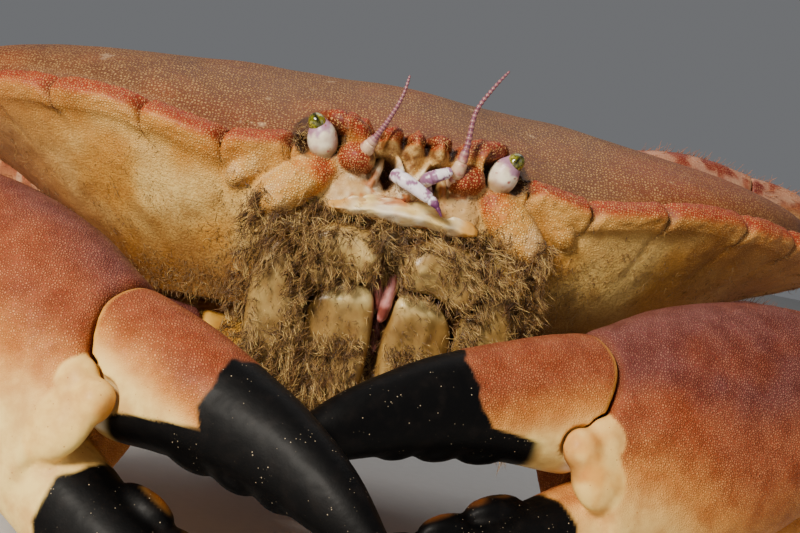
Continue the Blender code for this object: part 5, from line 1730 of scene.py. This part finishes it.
def face_coat(flat, quads, weight):
    """Fine short hairs in the hollows and between the lobes of the face."""
    rng = np.random.default_rng(23)
    count = FACE_BRISTLES
    place, normal = scatter(flat, halved(quads), count, rng, weight)
    lines = normal * 0.7 + (0, -0.5, 0.1) + rng.normal(size=(count, 3)) * 0.35
    lines, tuft = clumped(place, lines, 1.0, 0.6, 9)
    places = np.stack([0.5 + place[:, 0] / 80, 0.5 + place[:, 2] / 40], -1)
    bristles(
        "face_bristles", "shell", *on_floor(place, lines), rng.uniform(0.4, 1.3, count),
        rng.uniform(0.04, 0.07, count), hair_colours(rng, tuft), places, 0.5, 6, 4,
    )


def cheek_coat(flat, quads, where, angle):
    """Short fuzz that lies on the cheeks, thickest near the mouth and under the rim's notches."""
    rng = np.random.default_rng(11)
    x, y, z = flat.T
    _, _, off = rim_shape(angle)
    notch = np.tile(off, len(flat) // len(angle))
    patch = rough(flat, 9, 101)
    weight = smooth(where, 10.4, 11.5) * smooth(patch, -0.25, 0.35) * (0.35 + smooth(np.abs(x), 62, 24))
    weight += 1.6 * bell(notch / 1.2) * smooth(where, 9.4, 10.0) * smooth(where, 11.4, 10.6)
    near_mouth = smooth(np.abs(x), 40, 26) * smooth(z, -8, -14)
    weight += 0.9 * near_mouth * smooth(patch, -0.5, 0.2)
    weight += 3.0 * smooth(where, 13.8, 14.7) * smooth(np.abs(x), 72, 60) * smooth(patch, -0.8, 0.0)
    weight *= smooth(y, 10, -5)
    count = CHEEK_BRISTLES
    place, normal = scatter(flat, halved(quads), count, rng, weight)
    lines = normal * 0.6 + (0, 0, -0.6) + rng.normal(size=(count, 3)) * 0.3
    lines, tuft = clumped(place, lines, 1.5, 0.7, 15)
    lengths = rng.uniform(0.5, 1.5, count) * (1 + 0.9 * smooth(np.abs(place[:, 0]), 42, 26))
    turn = np.arctan2(place[:, 0], -place[:, 1]) / (2 * math.pi) + 0.5
    places = np.stack([0.02 + turn * 0.95, 0.05 + np.clip((place[:, 2] + 30) / 40, 0, 1) * 0.9], -1)
    bristles(
        "cheek_bristles", "shell", *on_floor(place - normal * 0.1, lines), lengths,
        rng.uniform(0.032, 0.068, count), mix(hair_colours(rng, tuft), (0.80, 0.63, 0.37), 0.4), places,
        0.6, 5,
    )


def tail_coat(rings, out):
    """Fringe along both sides of the folded tail."""
    rng = np.random.default_rng(23)
    count = TAIL_BRISTLES
    row = rng.integers(2, len(rings) - 2, count)
    off = rng.integers(-3, 4, count)
    column = np.where(rng.random(count) < 0.5, off, TAIL_SIDES // 2 + off) % TAIL_SIDES
    roots = rings[row, column]
    lines = np.sign(roots[:, :1]) * (1.0, 0, 0) - out[row] * 0.5 + rng.normal(size=(count, 3)) * 0.35
    places = np.stack([0.1 + 0.8 * row / len(rings), 0.1 + 0.8 * column / TAIL_SIDES], -1)
    bristles(
        "tail_bristles", "underside", *on_floor(roots, lines), rng.uniform(0.8, 2.6, count),
        rng.uniform(0.05, 0.09, count), hair_colours(rng, rng.uniform(-1, 1, count)), places, 0.4, 9,
    )


def leg_coat(coat):
    """Rows of short bristles along the edges and grooves of the walking legs."""
    rng = np.random.default_rng(17)
    roots, lines, lengths, colours, places = [], [], [], [], []
    for number, (points, tris, a, b, c, line, k) in enumerate(coat):
        weight = bell(b / 1.3) + 0.8 * smooth(np.abs(b), 3.6, 5.5) * smooth(np.abs(c), 2.5, 0.5)
        weight += 0.25 * (k == 3) + 0.08
        weight = weight * smooth(a, 0.0, 0.08)
        count = LEG_BRISTLES[k]
        place, normal = scatter(points, tris, count, rng, weight)
        roots.append(place - normal * 0.1)
        lines.append(normal * 0.8 + line * 0.7 + rng.normal(size=(count, 3)) * 0.25)
        lengths.append(rng.uniform(1.0, 3.0, count))
        colours.append(mix((0.48, 0.28, 0.14), (0.84, 0.52, 0.26), rng.random(count)))
        share = np.clip(((place - points.mean(0)) @ line) / 70 + 0.5, 0, 1)
        spot = [number % 6 + 0.1 + 0.8 * share, number // 6 + rng.random(count) * 0.9]
        places.append(np.stack(spot, -1) / 6)
    every = (np.concatenate(part) for part in (roots, lines, lengths, colours, places))
    roots, lines, lengths, colours, places = every
    roots[:, 2] = np.maximum(roots[:, 2], 1.2)
    low = roots[:, 2] + unit(lines)[:, 2] * lengths < 0.8
    lines[low, 2] = np.abs(lines[low, 2])
    radius = rng.uniform(0.05, 0.1, len(roots))
    bristles("leg_bristles", "leg", roots, lines, lengths, radius, colours, places, 0.3, 9)


# Scene


def make_floor():
    shader = Shader("floor_paint", 0.7)
    tone = shader.ramp(shader.noise(3, 2.0), 0.3, 0.7)
    material = shader.coloured(shader.blend(tone, (0.815, 0.81, 0.80), (0.825, 0.82, 0.81)))
    size = 3.0
    mesh = bpy.data.meshes.new("floor")
    corners = [(-size, -size, 0), (size, -size, 0), (size, size, 0), (-size, size, 0)]
    mesh.from_pydata(corners, [], [(0, 1, 2, 3)])
    mesh.materials.append(material)
    floor = added("floor", mesh)


def add_light(name, place, target, size, power, colour):
    data = bpy.data.lights.new(name, "AREA")
    data.size = size
    data.energy = power
    data.color = colour
    light = added(name, data)
    light.location = place
    light.rotation_euler = (Vector(target) - Vector(place)).to_track_quat("-Z", "Y").to_euler()


def make_lights():
    world = bpy.data.worlds.new("studio")
    world.use_nodes = True
    background = world.node_tree.nodes["Background"]
    background.inputs["Color"].default_value = (0.80, 0.82, 0.86, 1)
    background.inputs["Strength"].default_value = 0.2
    bpy.context.scene.world = world
    middle = (0, -0.05, 0.05)
    add_light("key", (-0.52, -0.68, 0.50), middle, 0.22, 17, (1.0, 0.93, 0.82))
    add_light("fill", (0.75, -0.55, 0.42), middle, 0.6, 1.1, (0.95, 0.97, 1.0))
    add_light("top", (0.1, 0.35, 0.9), middle, 0.7, 2.5, (1.0, 0.98, 0.95))


def make_camera():
    ahead = unit((-math.sin(CAMERA_TURN), math.cos(CAMERA_TURN), -math.tan(CAMERA_RISE)))
    right = unit(np.cross(ahead, UPRIGHT))
    up = np.cross(right, ahead)
    place = shell_to_floor(CAMERA_AIM) + right * CAMERA_ASIDE - up * CAMERA_BELOW - ahead * CAMERA_DISTANCE
    c, s = math.cos(CAMERA_ROLL), math.sin(CAMERA_ROLL)
    right, up = right * c + up * s, up * c - right * s
    data = bpy.data.cameras.new("camera")
    data.angle = 2 * HALF_VIEW
    data.clip_start = 0.01
    camera = added("camera", data)
    matrix = Matrix.Identity(4)
    for row in range(3):
        matrix[row][0], matrix[row][1], matrix[row][2] = right[row], up[row], -ahead[row]
        matrix[row][3] = (place[row] + SHIFT[row]) * MM
    camera.matrix_world = matrix
    bpy.context.scene.camera = camera


def main():
    flat, quads, where, angle, hairy = make_shell()
    make_epistome()
    for side in SIDES:
        make_eye(side)
        make_antenna(side)
        make_antennule(side)
    make_mouth()
    for side in SIDES:
        make_claw(side)
    coat = []
    for side in SIDES:
        for index in range(4):
            make_leg(index, side, coat)
    make_joints()
    make_breast()
    make_hips()
    tail = make_tail()
    for side in SIDES:
        mouth_coat(side)
    face_coat(flat, quads, hairy)
    cheek_coat(flat, quads, where, angle)
    tail_coat(*tail)
    leg_coat(coat)
    make_floor()
    make_lights()
    make_camera()


main()
